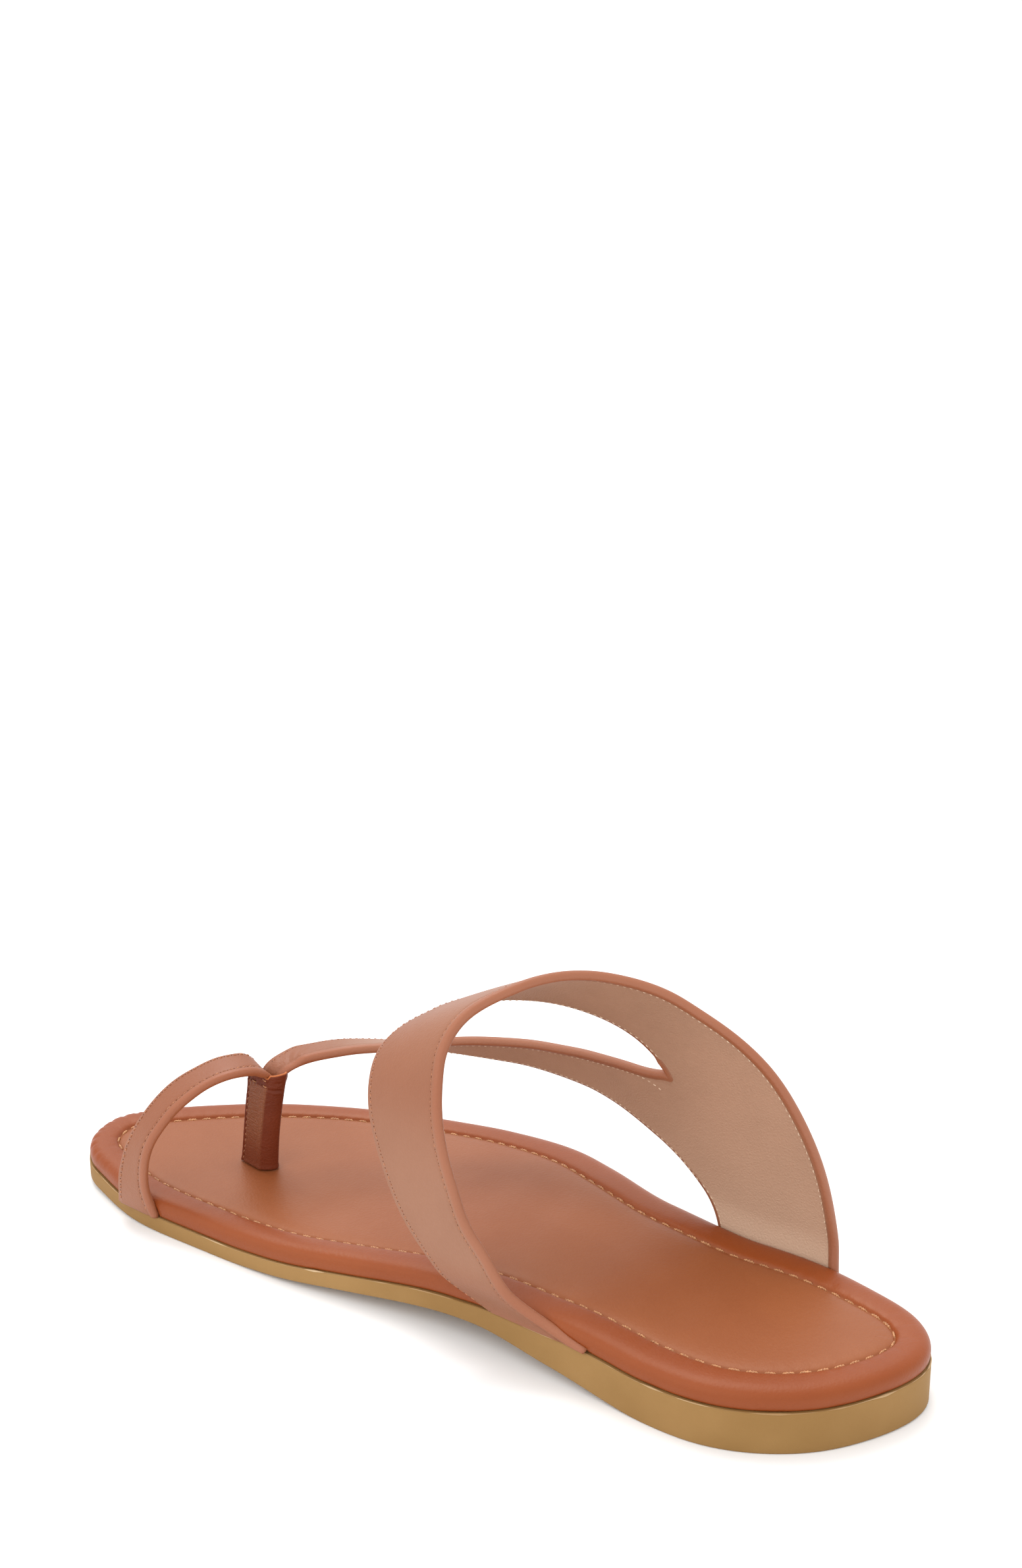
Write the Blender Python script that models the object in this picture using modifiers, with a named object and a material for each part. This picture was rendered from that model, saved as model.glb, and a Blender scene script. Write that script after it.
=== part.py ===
"""Toe loop sandal for the right foot, built the way its maker would: a moulded outsole, a padded
footbed, a strap upper on the last, a toe loop and a toe post.

Metres. +Y runs to the toe, +X to the outer (lateral) side and +Z up. The tables hold shares of
the named sizes: "along" is a share of the sole's length from the heel, "around" is a share of
the half turn over the last from the inner (medial) feather edge to the outer one.
"""
import math

import bmesh
import bpy
import numpy as np
from mathutils import Vector

# Driving sizes
LENGTH = 0.243
BALL_WIDTH = 0.082
INSTEP_HEIGHT = 0.0935
HEEL_RUBBER = 0.0108
FOREFOOT_RUBBER = 0.0042
ARCH_LIFT = 0.0065
TOE_SPRING = 0.0016
RUBBER_EDGE = 0.0004
FOOTBED_HEIGHT = 0.0051
FOOTBED_INSET = 0.0003
PAD_RIM = 0.0096
STRAP_WALL = 0.0022
STRAP_PROUD = 0.0005
MEDIAL_BULGE = 0.0025
LATERAL_BULGE = 0.0005
TUCK_HEIGHT = 0.0110
TOE_DROP = 0.0080
LOOP_RISE = 0.0380
LOOP_WALL = 0.0020
POST_HEIGHT = 0.0246
POST_LENGTH = 0.0118
POST_THICKNESS = 0.0068
POST_TURN = math.radians(7.0)
POST_WALL = 0.00125
POST_FOLD = 0.0017
SLOT_DEPTH = 0.0058
SKIVED_SHARE = 0.60
EDGE_ROUND = 0.0006
JOINT_GAP = 0.0003
STRAP_SEAT = 0.00045

# Mesh steps
SOLE_STATIONS = 46
STRAP_STEPS = 2
STRAP_COLUMNS = 6
THIN_STEPS = 2
LOOP_STEPS = 2
LOOP_COLUMNS = 4
POST_SIDES = 20

# Outline of the sole, in shares of the ball width: along, medial side, lateral side
OUTLINE = (
    (0.00, -0.059, 0.059),
    (0.03, 0.175, 0.213),
    (0.08, 0.330, 0.282),
    (0.16, 0.428, 0.340),
    (0.26, 0.412, 0.355),
    (0.36, 0.388, 0.409),
    (0.46, 0.371, 0.527),
    (0.56, 0.383, 0.593),
    (0.65, 0.405, 0.599),
    (0.73, 0.403, 0.560),
    (0.81, 0.394, 0.469),
    (0.88, 0.374, 0.346),
    (0.94, 0.313, 0.192),
    (0.965, 0.281, 0.112),
    (0.982, 0.240, 0.045),
    (0.994, 0.184, -0.010),
    (1.00, 0.085, -0.085),
)

# Underside: along, share of the arch lift
ARCH = (
    (0.00, 0.0),
    (0.22, 0.0),
    (0.33, 0.55),
    (0.42, 1.0),
    (0.58, 0.46),
    (0.68, 0.10),
    (0.745, 0.0),
    (1.00, 0.0),
)

# Underside: along, share of the toe spring
SPRING = (
    (0.00, 0.16),
    (0.07, 0.0),
    (0.80, 0.0),
    (0.90, 0.35),
    (1.00, 1.0),
)

# Thickness of the outsole: along, share of the heel rubber, share of the forefoot rubber
RUBBER = (
    (0.00, 1.00, 0.00),
    (0.25, 0.95, 0.00),
    (0.45, 0.00, 1.15),
    (0.65, 0.00, 1.00),
    (0.85, 0.00, 1.06),
    (1.00, 0.00, 1.20),
)

# Side of the outsole: inset as a share of the rubber edge, rise as a share of it, and whether
# the rise is counted from the underside (0) or down from the top (1)
RUBBER_SIDE = (
    (1.00, 0.00, 0),
    (0.28, 0.34, 0),
    (0.00, 1.10, 0),
    (0.00, -0.60, 1),
    (0.35, 0.00, 1),
)

# Section of the padded footbed: inset as a share of the rim, rise as a share of the footbed
# height, and how far a strap presses the ring in
PAD_SECTION = (
    (0.110, 0.064, 1.00),
    (0.035, 0.200, 1.00),
    (0.000, 0.480, 1.00),
    (0.045, 0.720, 0.95),
    (0.160, 0.900, 0.80),
    (0.360, 1.000, 0.35),
    (0.680, 1.010, 0.00),
    (0.930, 0.900, 0.00),
    (1.030, 0.860, 0.00),
    (1.350, 0.930, 0.00),
)

# Where the straps press into the rim: side (-1 medial, 1 lateral), first along, last along
STRAP_SEATS = (
    (-1, 0.268, 0.446),
    (1, 0.120, 0.290),
    (-1, 0.822, 0.906),
)
SEAT_RAMP = 0.014

# Sections of the last: along, ridge to the side as a share of the ball width, ridge height as a
# share of the instep height, fullness of the medial and of the lateral side
LAST = (
    (0.00, 0.000, 1.305, 2.00, 2.00),
    (0.12, 0.000, 1.230, 2.20, 2.20),
    (0.24, -0.024, 1.138, 2.40, 2.20),
    (0.35, -0.067, 1.008, 2.80, 2.00),
    (0.41, -0.085, 0.931, 3.00, 1.85),
    (0.46, -0.091, 0.869, 3.00, 1.75),
    (0.53, -0.098, 0.773, 2.80, 1.65),
    (0.60, -0.104, 0.673, 2.60, 1.60),
    (0.68, -0.098, 0.572, 2.40, 1.65),
    (0.78, -0.073, 0.460, 2.20, 1.80),
    (1.00, -0.049, 0.300, 2.00, 2.00),
)

# Wide strap and outer panel, a row for each section from the medial to the lateral feather
# edge: along and around of its rear edge, along and around of its front edge
WIDE_STRAP = (
    (0.281, 0.000, 0.402, 0.000),
    (0.318, 0.010, 0.409, 0.004),
    (0.366, 0.040, 0.418, 0.009),
    (0.393, 0.072, 0.436, 0.025),
    (0.415, 0.099, 0.461, 0.051),
    (0.430, 0.132, 0.490, 0.092),
    (0.443, 0.166, 0.515, 0.146),
    (0.452, 0.196, 0.536, 0.206),
    (0.458, 0.226, 0.549, 0.257),
    (0.462, 0.258, 0.556, 0.308),
    (0.465, 0.293, 0.558, 0.362),
    (0.463, 0.335, 0.551, 0.428),
    (0.456, 0.383, 0.534, 0.491),
    (0.443, 0.437, 0.513, 0.545),
    (0.429, 0.488, 0.491, 0.594),
    (0.411, 0.532, 0.467, 0.639),
    (0.393, 0.575, 0.443, 0.678),
    (0.374, 0.617, 0.419, 0.713),
    (0.349, 0.664, 0.395, 0.745),
    (0.314, 0.716, 0.373, 0.775),
    (0.286, 0.753, 0.354, 0.806),
    (0.253, 0.786, 0.338, 0.840),
    (0.216, 0.823, 0.325, 0.879),
    (0.185, 0.864, 0.313, 0.921),
    (0.158, 0.911, 0.301, 0.959),
    (0.142, 0.958, 0.287, 0.982),
    (0.132, 1.000, 0.277, 1.000),
)
APEX_ROW = 21
ROOT_ROW = 24

# Thin strap, from the panel to the toe post: along, around and drop below the last of its
# medial edge, then of its lateral edge, with the drop in shares of the toe drop
THIN_STRAP = (
    (0.338, 0.840, 0.00, 0.301, 0.959, 0.00),
    (0.354, 0.835, 0.00, 0.329, 0.935, 0.00),
    (0.383, 0.825, 0.00, 0.361, 0.916, 0.00),
    (0.418, 0.815, 0.00, 0.397, 0.900, 0.00),
    (0.452, 0.804, -0.01, 0.433, 0.886, -0.01),
    (0.485, 0.791, -0.03, 0.469, 0.871, -0.03),
    (0.516, 0.776, -0.07, 0.504, 0.856, -0.07),
    (0.547, 0.761, -0.11, 0.537, 0.839, -0.12),
    (0.576, 0.744, -0.14, 0.570, 0.820, -0.16),
    (0.603, 0.727, -0.10, 0.601, 0.800, -0.19),
    (0.627, 0.708, 0.02, 0.632, 0.778, -0.21),
    (0.650, 0.685, 0.19, 0.663, 0.753, -0.21),
    (0.673, 0.660, 0.37, 0.693, 0.726, -0.20),
    (0.695, 0.633, 0.51, 0.721, 0.696, -0.16),
    (0.717, 0.608, 0.62, 0.746, 0.663, -0.06),
    (0.736, 0.586, 0.71, 0.768, 0.630, 0.10),
    (0.752, 0.568, 0.83, 0.785, 0.595, 0.32),
    (0.766, 0.553, 0.98, 0.798, 0.558, 0.57),
    (0.769, 0.553, 1.41, 0.801, 0.545, 0.96),
    (0.770, 0.553, 1.80, 0.802, 0.543, 1.34),
)

# Toe loop, from the sole's medial edge to the toe post: side as a share of the ball width,
# along and rise as a share of the loop rise, of its rear edge and then of its front edge
TOE_LOOP = (
    (-0.388, 0.833, 0.000, -0.377, 0.893, 0.000),
    (-0.398, 0.838, 0.120, -0.392, 0.887, 0.124),
    (-0.406, 0.840, 0.237, -0.396, 0.884, 0.240),
    (-0.410, 0.839, 0.353, -0.387, 0.881, 0.357),
    (-0.406, 0.837, 0.466, -0.367, 0.878, 0.472),
    (-0.389, 0.833, 0.582, -0.338, 0.873, 0.588),
    (-0.360, 0.826, 0.690, -0.301, 0.866, 0.700),
    (-0.322, 0.818, 0.790, -0.259, 0.857, 0.806),
    (-0.277, 0.808, 0.873, -0.212, 0.847, 0.887),
    (-0.229, 0.798, 0.934, -0.162, 0.835, 0.947),
    (-0.180, 0.786, 0.970, -0.113, 0.824, 0.982),
    (-0.134, 0.777, 0.972, -0.074, 0.815, 0.993),
    (-0.090, 0.770, 0.940, -0.046, 0.809, 0.968),
    (-0.052, 0.766, 0.885, -0.040, 0.806, 0.905),
    (-0.021, 0.768, 0.812, -0.028, 0.805, 0.822),
    (-0.012, 0.769, 0.730, -0.024, 0.804, 0.740),
    (-0.010, 0.770, 0.650, -0.023, 0.804, 0.660),
)
SKIVED_ROWS = 3

# Toe post: share of its height, side and along of its centre, share of its length and thickness
TOE_POST = (
    (0.00, 0.0030, 0.7960, 1.06, 0.98),
    (0.20, 0.0010, 0.7940, 1.00, 0.90),
    (0.55, -0.0010, 0.7890, 0.98, 0.90),
    (0.80, -0.0030, 0.7855, 0.97, 0.96),
    (1.00, -0.0040, 0.7835, 0.98, 1.00),
)
POST_STEPS = 2
POST_FULLNESS = 3.2

# Colours and finish: base colour, roughness
FINISH = {
    "outsole": ((0.402, 0.235, 0.084), 0.42),
    "footbed": ((0.405, 0.130, 0.052), 0.40),
    "upper": ((0.455, 0.165, 0.085), 0.42),
    "toe_loop": ((0.455, 0.165, 0.085), 0.42),
    "toe_post": ((0.235, 0.070, 0.036), 0.50),
}


def clear_scene():
    """Removes what the scene holds."""
    for item in list(bpy.data.objects):
        bpy.data.objects.remove(item, do_unlink=True)


def smooth(table, column, at):
    """Monotone cubic through a table's column, which keeps level stretches level."""
    rows = np.asarray(table, float)
    knots = rows[:, 0]
    values = rows[:, column]
    at = np.clip(np.asarray(at, float), knots[0], knots[-1])
    step = np.diff(knots)
    slope = np.diff(values) / step
    tangent = np.zeros_like(values)
    tangent[0] = slope[0]
    tangent[-1] = slope[-1]
    for k in range(1, len(knots) - 1):
        if slope[k - 1] * slope[k] > 0:
            before = 2 * step[k] + step[k - 1]
            after = step[k] + 2 * step[k - 1]
            tangent[k] = (before + after) / (before / slope[k - 1] + after / slope[k])
    i = np.clip(np.searchsorted(knots, at, side="right") - 1, 0, len(step) - 1)
    s = (at - knots[i]) / step[i]
    rise = s * s * (3 - 2 * s)
    ends = (1 - rise) * values[i] + rise * values[i + 1]
    return ends + s * (1 - s) * step[i] * ((1 - s) * tangent[i] - s * tangent[i + 1])


def spline(knots, values, at):
    """Natural cubic spline through values at rising knots."""
    knots = np.asarray(knots, float)
    values = np.asarray(values, float)
    count = len(knots)
    step = np.diff(knots)
    matrix = np.eye(count)
    right = np.zeros(count)
    for k in range(1, count - 1):
        matrix[k, k - 1] = step[k - 1]
        matrix[k, k] = 2 * (step[k - 1] + step[k])
        matrix[k, k + 1] = step[k]
        change = (values[k + 1] - values[k]) / step[k] - (values[k] - values[k - 1]) / step[k - 1]
        right[k] = 6 * change
    bend = np.linalg.solve(matrix, right)
    i = np.clip(np.searchsorted(knots, at, side="right") - 1, 0, count - 2)
    a = (knots[i + 1] - at) / step[i]
    b = (np.asarray(at, float) - knots[i]) / step[i]
    curve = (a ** 3 - a) * bend[i] + (b ** 3 - b) * bend[i + 1]
    return a * values[i] + b * values[i + 1] + curve * step[i] ** 2 / 6


def sole_bottom(along):
    """Height of the outsole's underside."""
    return ARCH_LIFT * smooth(ARCH, 1, along) + TOE_SPRING * smooth(SPRING, 1, along)


def sole_top(along):
    """Height of the outsole's top, where the footbed and the straps sit."""
    heel = HEEL_RUBBER * smooth(RUBBER, 1, along)
    forefoot = FOREFOOT_RUBBER * smooth(RUBBER, 2, along)
    return sole_bottom(along) + heel + forefoot


def sole_outline():
    """Points round the sole and their outward normals, with equal stations on both sides."""
    lateral = [(row[2] * BALL_WIDTH, row[0] * LENGTH) for row in OUTLINE]
    medial = [(-row[1] * BALL_WIDTH, row[0] * LENGTH) for row in OUTLINE[-2:0:-1]]
    loop = np.array(lateral + medial)
    wrap = 4
    points = np.vstack([loop[-wrap:], loop, loop[:wrap + 1]])
    chord = np.r_[0, np.cumsum(np.sqrt(np.linalg.norm(np.diff(points, axis=0), axis=1)))]
    fine = np.linspace(chord[wrap], chord[wrap + len(loop)], 4001)[:-1]
    x = spline(chord, points[:, 0], fine)
    y = spline(chord, points[:, 1], fine)
    y = (y - y.min()) * LENGTH / (y.max() - y.min())
    heel = int(y.argmin())
    x = np.roll(x, -heel)
    y = np.roll(y, -heel)
    toe = int(y.argmax())
    turn = np.linspace(0, math.pi, SOLE_STATIONS + 1)
    stations = LENGTH * (1 - np.cos(turn)) / 2
    index = np.arange(len(x) + 1)
    x = np.r_[x, x[0]]
    y = np.r_[y, y[0]]
    up = np.interp(stations, y[:toe + 1], index[:toe + 1])
    down = np.interp(stations, y[toe:][::-1], index[toe:][::-1])
    order = np.r_[down[:-1], up[:0:-1]]
    places = np.stack([np.interp(order, index, x), np.interp(order, index, y)], axis=1)
    ahead = np.mod(order + 4, len(x) - 1)
    behind = np.mod(order - 4, len(x) - 1)
    run_x = np.interp(ahead, index, x) - np.interp(behind, index, x)
    run_y = np.interp(ahead, index, y) - np.interp(behind, index, y)
    size = np.hypot(run_x, run_y)
    normals = np.stack([run_y / size, -run_x / size], axis=1)
    return places, normals


def seat_press(places):
    """How far each point of the rim gives way to a strap's end, from 0 to 1."""
    along = places[:, 1] / LENGTH
    side = np.where(np.arange(len(places)) <= SOLE_STATIONS, -1, 1)
    press = np.zeros(len(places))
    for where, first, last in STRAP_SEATS:
        rise = np.clip((along - first + SEAT_RAMP) / SEAT_RAMP, 0, 1)
        fall = np.clip((last + SEAT_RAMP - along) / SEAT_RAMP, 0, 1)
        window = rise * rise * (3 - 2 * rise) * fall * fall * (3 - 2 * fall)
        press = np.maximum(press, window * (side == where))
    return press


def ring(places, normals, inset, height):
    """One ring of a sole: the outline moved in, at a height that follows the length."""
    moved = places - normals * np.reshape(inset, (-1, 1))
    return np.c_[moved, height(np.clip(moved[:, 1] / LENGTH, 0, 1))]


def collections():
    """The part's collection and one for its cutters."""
    part = bpy.data.collections.new("toe_loop_sandal")
    cutters = bpy.data.collections.new("cutters")
    for item in (part, cutters):
        bpy.context.scene.collection.children.link(item)
    return part, cutters


def finish(name):
    """Principled material of one piece."""
    colour, roughness = FINISH[name]
    material = bpy.data.materials.new(name)
    material.use_nodes = True
    shader = material.node_tree.nodes["Principled BSDF"]
    shader.inputs["Base Color"].default_value = (*colour, 1.0)
    shader.inputs["Roughness"].default_value = roughness
    shader.inputs["Metallic"].default_value = 0.0
    return material


def mesh_object(name, points, faces, collection):
    """Object of one mesh, with its material."""
    mesh = bpy.data.meshes.new(name)
    mesh.from_pydata([tuple(p) for p in points], [], faces)
    mesh.validate()
    item = bpy.data.objects.new(name, mesh)
    collection.objects.link(item)
    if name in FINISH:
        mesh.materials.append(finish(name))
    return item


def lofted_sole(name, rings, collection):
    """Closed body through rings, closed below and on top by rungs from side to side."""
    count = len(rings[0])
    faces = []
    for k in range(len(rings) - 1):
        for i in range(count):
            j = (i + 1) % count
            low = k * count
            high = low + count
            faces.append((low + j, low + i, high + i, high + j))
    half = count // 2
    for base, upward in ((0, False), ((len(rings) - 1) * count, True)):
        for i in range(half):
            rung = [base + i, base + i + 1, base + (count - i - 1) % count, base + (count - i) % count]
            face = list(dict.fromkeys(rung))
            faces.append(tuple(face[::-1]) if upward else tuple(face))
    return mesh_object(name, np.vstack(rings), faces, collection)


def build_outsole(collection):
    """Moulded rubber outsole: heel, arch, toe spring and eased edges."""
    places, normals = sole_outline()
    rings = []
    for inset, rise, from_top in RUBBER_SIDE:
        level = sole_top if from_top else sole_bottom
        shift = rise * RUBBER_EDGE
        rings.append(ring(places, normals, inset * RUBBER_EDGE, lambda a, f=level, d=shift: f(a) + d))
    return lofted_sole("outsole", rings, collection)


def build_footbed(collection):
    """Padded footbed on the outsole, pressed in where the straps are tucked under it."""
    places, normals = sole_outline()
    press = seat_press(places)
    depth = STRAP_WALL - STRAP_PROUD + JOINT_GAP - FOOTBED_INSET
    rings = []
    for inset, rise, pressed in PAD_SECTION:
        shift = rise * FOOTBED_HEIGHT
        moved = FOOTBED_INSET + inset * PAD_RIM
        give = np.maximum(moved, (moved + depth) * pressed)
        inward = moved + (give - moved) * press
        rings.append(ring(places, normals, inward, lambda a, d=shift: sole_top(a) + d))
    return lofted_sole("footbed", rings, collection)


def last_point(along, around, drop=0.0):
    """Point of the last's surface, drawn in at the feather edge where the straps are tucked."""
    knots = [row[0] for row in LAST]
    column = [spline(knots, [row[k] for row in LAST], along) for k in range(1, 5)]
    ridge = BALL_WIDTH * float(column[0])
    top = INSTEP_HEIGHT * float(column[1])
    base = float(sole_top(along)) + STRAP_SEAT
    if around < 0.5:
        side = -1
        bulge = MEDIAL_BULGE
        reach = BALL_WIDTH * float(smooth(OUTLINE, 1, along)) + bulge + ridge
        fullness = float(column[2])
    else:
        side = 1
        bulge = LATERAL_BULGE
        reach = BALL_WIDTH * float(smooth(OUTLINE, 2, along)) + bulge - ridge
        fullness = float(column[3])
    across = abs(math.cos(math.pi * around))
    up = max(math.sin(math.pi * around), 0.0)
    scale = (across ** fullness + up ** fullness) ** (-1 / fullness)
    height = (top - base) * up * scale
    free = min(height / TUCK_HEIGHT, 1.0)
    tuck = (bulge + STRAP_WALL - STRAP_PROUD) * (1 - free * free * (3 - 2 * free))
    x = ridge + side * (reach * across * scale - tuck)
    return Vector((x, along * LENGTH, base + height - drop * TOE_DROP))


def table_rows(table, steps):
    """Rows of a table with spline steps between them."""
    knots = np.arange(len(table))
    at = np.linspace(0, len(table) - 1, (len(table) - 1) * steps + 1)
    columns = [spline(knots, [row[k] for row in table], at) for k in range(len(table[0]))]
    return np.stack(columns, axis=1)


def grid_faces(ids):
    """Quads of a grid of vertex numbers, row by row."""
    faces = []
    for upper, lower in zip(ids[:-1], ids[1:]):
        for k in range(len(upper) - 1):
            faces.append((upper[k], lower[k], lower[k + 1], upper[k + 1]))
    return faces


def strap_modifiers(item, wall, offset, skived):
    """Gives an open strap surface its wall, thinner in the post, and rounds its folded edges."""
    group = item.vertex_groups.new(name="full wall")
    full = [v.index for v in item.data.vertices if v.index not in skived]
    group.add(full, 1.0, "REPLACE")
    shell = item.modifiers.new("wall", "SOLIDIFY")
    shell.thickness = wall
    shell.offset = offset
    shell.vertex_group = group.name
    shell.thickness_vertex_group = SKIVED_SHARE
    shell.use_even_offset = True
    edge = item.modifiers.new("folded edge", "BEVEL")
    edge.width = EDGE_ROUND
    edge.segments = 1
    edge.limit_method = "ANGLE"
    edge.angle_limit = math.radians(50)


def build_upper(collection):
    """Wide strap, outer panel and thin strap as one leather piece with a teardrop opening."""
    points = []
    wide_ids = []
    for back, back_turn, front, front_turn in table_rows(WIDE_STRAP, STRAP_STEPS):
        row = []
        for share in np.linspace(0, 1, STRAP_COLUMNS + 1):
            along = back + (front - back) * share
            around = min(max(back_turn + (front_turn - back_turn) * share, 0.0), 1.0)
            row.append(len(points))
            points.append(last_point(along, around))
        wide_ids.append(row)
    root = [row[-1] for row in wide_ids[APEX_ROW * STRAP_STEPS:ROOT_ROW * STRAP_STEPS + 1]]
    thin_ids = [root]
    for row in table_rows(THIN_STRAP, THIN_STEPS)[1:]:
        ids = []
        for share in np.linspace(0, 1, len(root)):
            along, around, drop = row[:3] + (row[3:] - row[:3]) * share
            ids.append(len(points))
            points.append(last_point(along, around, drop))
        thin_ids.append(ids)
    faces = grid_faces(wide_ids) + grid_faces([row[::-1] for row in thin_ids])
    item = mesh_object("upper", points, faces, collection)
    skived = {k for row in thin_ids[-SKIVED_ROWS * THIN_STEPS:] for k in row}
    strap_modifiers(item, STRAP_WALL, 1.0, skived)
    return item


def build_toe_loop(collection):
    """Strap over the big toe, from the medial edge of the sole down into the toe post."""
    points = []
    ids = []
    for row in table_rows(TOE_LOOP, LOOP_STEPS):
        line = []
        for share in np.linspace(0, 1, LOOP_COLUMNS + 1):
            side, along, rise = row[:3] + (row[3:] - row[:3]) * share
            base = float(sole_top(along)) + JOINT_GAP
            line.append(len(points))
            points.append(Vector((side * BALL_WIDTH, along * LENGTH, base + rise * LOOP_RISE)))
        ids.append(line)
    item = mesh_object("toe_loop", points, grid_faces(ids), collection)
    skived = {k for row in ids[-SKIVED_ROWS * LOOP_STEPS:] for k in row}
    strap_modifiers(item, LOOP_WALL, 0.0, skived)
    return item


def build_toe_post(collection, cutters):
    """Folded leather sleeve on the footbed, with a slot in its top for the strap ends."""
    rises = np.linspace(0, 1, (len(TOE_POST) - 1) * POST_STEPS + 1)
    foot = float(sole_top(TOE_POST[0][2])) + FOOTBED_HEIGHT + JOINT_GAP
    points = []
    for rise in rises:
        side, along, long_share, thick_share = (float(smooth(TOE_POST, k, rise)) for k in range(1, 5))
        for k in range(POST_SIDES):
            angle = 2 * math.pi * k / POST_SIDES
            power = 2 / POST_FULLNESS
            forward = math.copysign(abs(math.cos(angle)) ** power, math.cos(angle)) * POST_LENGTH / 2 * long_share
            across = math.copysign(abs(math.sin(angle)) ** power, math.sin(angle)) * POST_THICKNESS / 2 * thick_share
            x = side * BALL_WIDTH + across * math.cos(POST_TURN) - forward * math.sin(POST_TURN)
            y = along * LENGTH + across * math.sin(POST_TURN) + forward * math.cos(POST_TURN)
            points.append((x, y, foot + rise * POST_HEIGHT))
    faces = [tuple(range(POST_SIDES))]
    for level in range(len(rises) - 1):
        low = level * POST_SIDES
        for k in range(POST_SIDES):
            j = (k + 1) % POST_SIDES
            faces.append((low + k, low + POST_SIDES + k, low + POST_SIDES + j, low + j))
    top = (len(rises) - 1) * POST_SIDES
    faces.append(tuple(range(top + POST_SIDES - 1, top - 1, -1)))
    item = mesh_object("toe_post", points, faces, collection)
    cut_slot(item, cutters, foot + POST_HEIGHT)
    return item


def cut_slot(post, cutters, top):
    """Slot for the two strap ends, closed by the fold at the rear and open at the front."""
    width = POST_THICKNESS - 2 * POST_WALL
    length = POST_LENGTH
    bm = bmesh.new()
    bmesh.ops.create_cube(bm, size=1.0)
    mesh = bpy.data.meshes.new("post_slot")
    bm.to_mesh(mesh)
    bm.free()
    cutter = bpy.data.objects.new("post_slot", mesh)
    cutters.objects.link(cutter)
    cutter.scale = (width, length, 2 * SLOT_DEPTH)
    cutter.rotation_euler = (0.0, 0.0, POST_TURN)
    forward = POST_FOLD + (length - POST_LENGTH * TOE_POST[-1][3]) / 2
    side = TOE_POST[-1][1] * BALL_WIDTH - forward * math.sin(POST_TURN)
    ahead = TOE_POST[-1][2] * LENGTH + forward * math.cos(POST_TURN)
    cutter.location = (side, ahead, top)
    cutter.hide_render = True
    cutter.display_type = "WIRE"
    slot = post.modifiers.new("slot", "BOOLEAN")
    slot.operation = "DIFFERENCE"
    slot.solver = "EXACT"
    slot.object = cutter


def stand_on_origin(items):
    """Parents everything to one empty, moved so that the part stands centred on the origin."""
    bpy.context.view_layer.update()
    graph = bpy.context.evaluated_depsgraph_get()
    corners = []
    for item in items:
        if item.hide_render:
            continue
        solid = item.evaluated_get(graph)
        corners += [solid.matrix_world @ v.co for v in solid.to_mesh().vertices]
        solid.to_mesh_clear()
    low = [min(c[k] for c in corners) for k in range(3)]
    high = [max(c[k] for c in corners) for k in range(3)]
    root = bpy.data.objects.new("sandal_root", None)
    bpy.context.scene.collection.objects.link(root)
    for item in items:
        item.parent = root
    root.location = (-(low[0] + high[0]) / 2, -(low[1] + high[1]) / 2, -low[2])
    bpy.context.view_layer.update()


def main():
    """Builds the sandal."""
    clear_scene()
    part, cutters = collections()
    build_outsole(part)
    build_footbed(part)
    build_upper(part)
    build_toe_loop(part)
    build_toe_post(part, cutters)
    stand_on_origin(list(part.objects) + list(cutters.objects))


main()
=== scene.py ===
"""Looks of a toe loop sandal for the right foot: smooth leather straps with folded edges and a
pebbled lining, a padded stitched footbed, a wrinkled toe post and a honey rubber outsole.

Metres. The shoe's own frame has +Y to the toe from the back of the heel, +X to the outer side
and +Z up from the floor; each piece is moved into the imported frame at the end.
"""
from __future__ import annotations

import logging
import math
from dataclasses import dataclass, field, replace
from enum import Enum
from typing import Callable, Sequence

import bpy
import numpy as np
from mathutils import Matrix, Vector

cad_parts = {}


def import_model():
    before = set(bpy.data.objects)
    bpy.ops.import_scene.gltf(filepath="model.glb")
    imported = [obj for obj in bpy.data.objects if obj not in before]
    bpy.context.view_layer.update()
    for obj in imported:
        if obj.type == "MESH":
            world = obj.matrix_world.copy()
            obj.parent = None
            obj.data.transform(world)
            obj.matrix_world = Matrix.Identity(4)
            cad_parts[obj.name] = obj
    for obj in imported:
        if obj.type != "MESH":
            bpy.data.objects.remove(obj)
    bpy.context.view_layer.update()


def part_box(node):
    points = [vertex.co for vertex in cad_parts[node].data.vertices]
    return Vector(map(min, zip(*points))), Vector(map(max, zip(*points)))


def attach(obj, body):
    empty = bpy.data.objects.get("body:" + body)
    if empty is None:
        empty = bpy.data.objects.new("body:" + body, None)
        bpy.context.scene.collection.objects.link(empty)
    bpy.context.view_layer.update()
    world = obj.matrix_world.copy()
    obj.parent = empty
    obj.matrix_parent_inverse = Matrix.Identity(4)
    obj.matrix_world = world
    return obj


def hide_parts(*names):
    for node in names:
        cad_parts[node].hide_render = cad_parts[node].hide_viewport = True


log = logging.getLogger("sandal")

Table = Sequence[Sequence[float]]
Colour = tuple[float, float, float]
Faces = list[tuple[int, ...]]
Rise = Callable[[np.ndarray], np.ndarray]
MM = 0.001

# How far the rounding of a folded edge and of a plain edge stands out from a strap's sheet
ROLL_REACH = 1.0 * MM
PLAIN_REACH = 0.45 * MM

# Steps along each side of the sole's outline
STATIONS = 230

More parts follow.
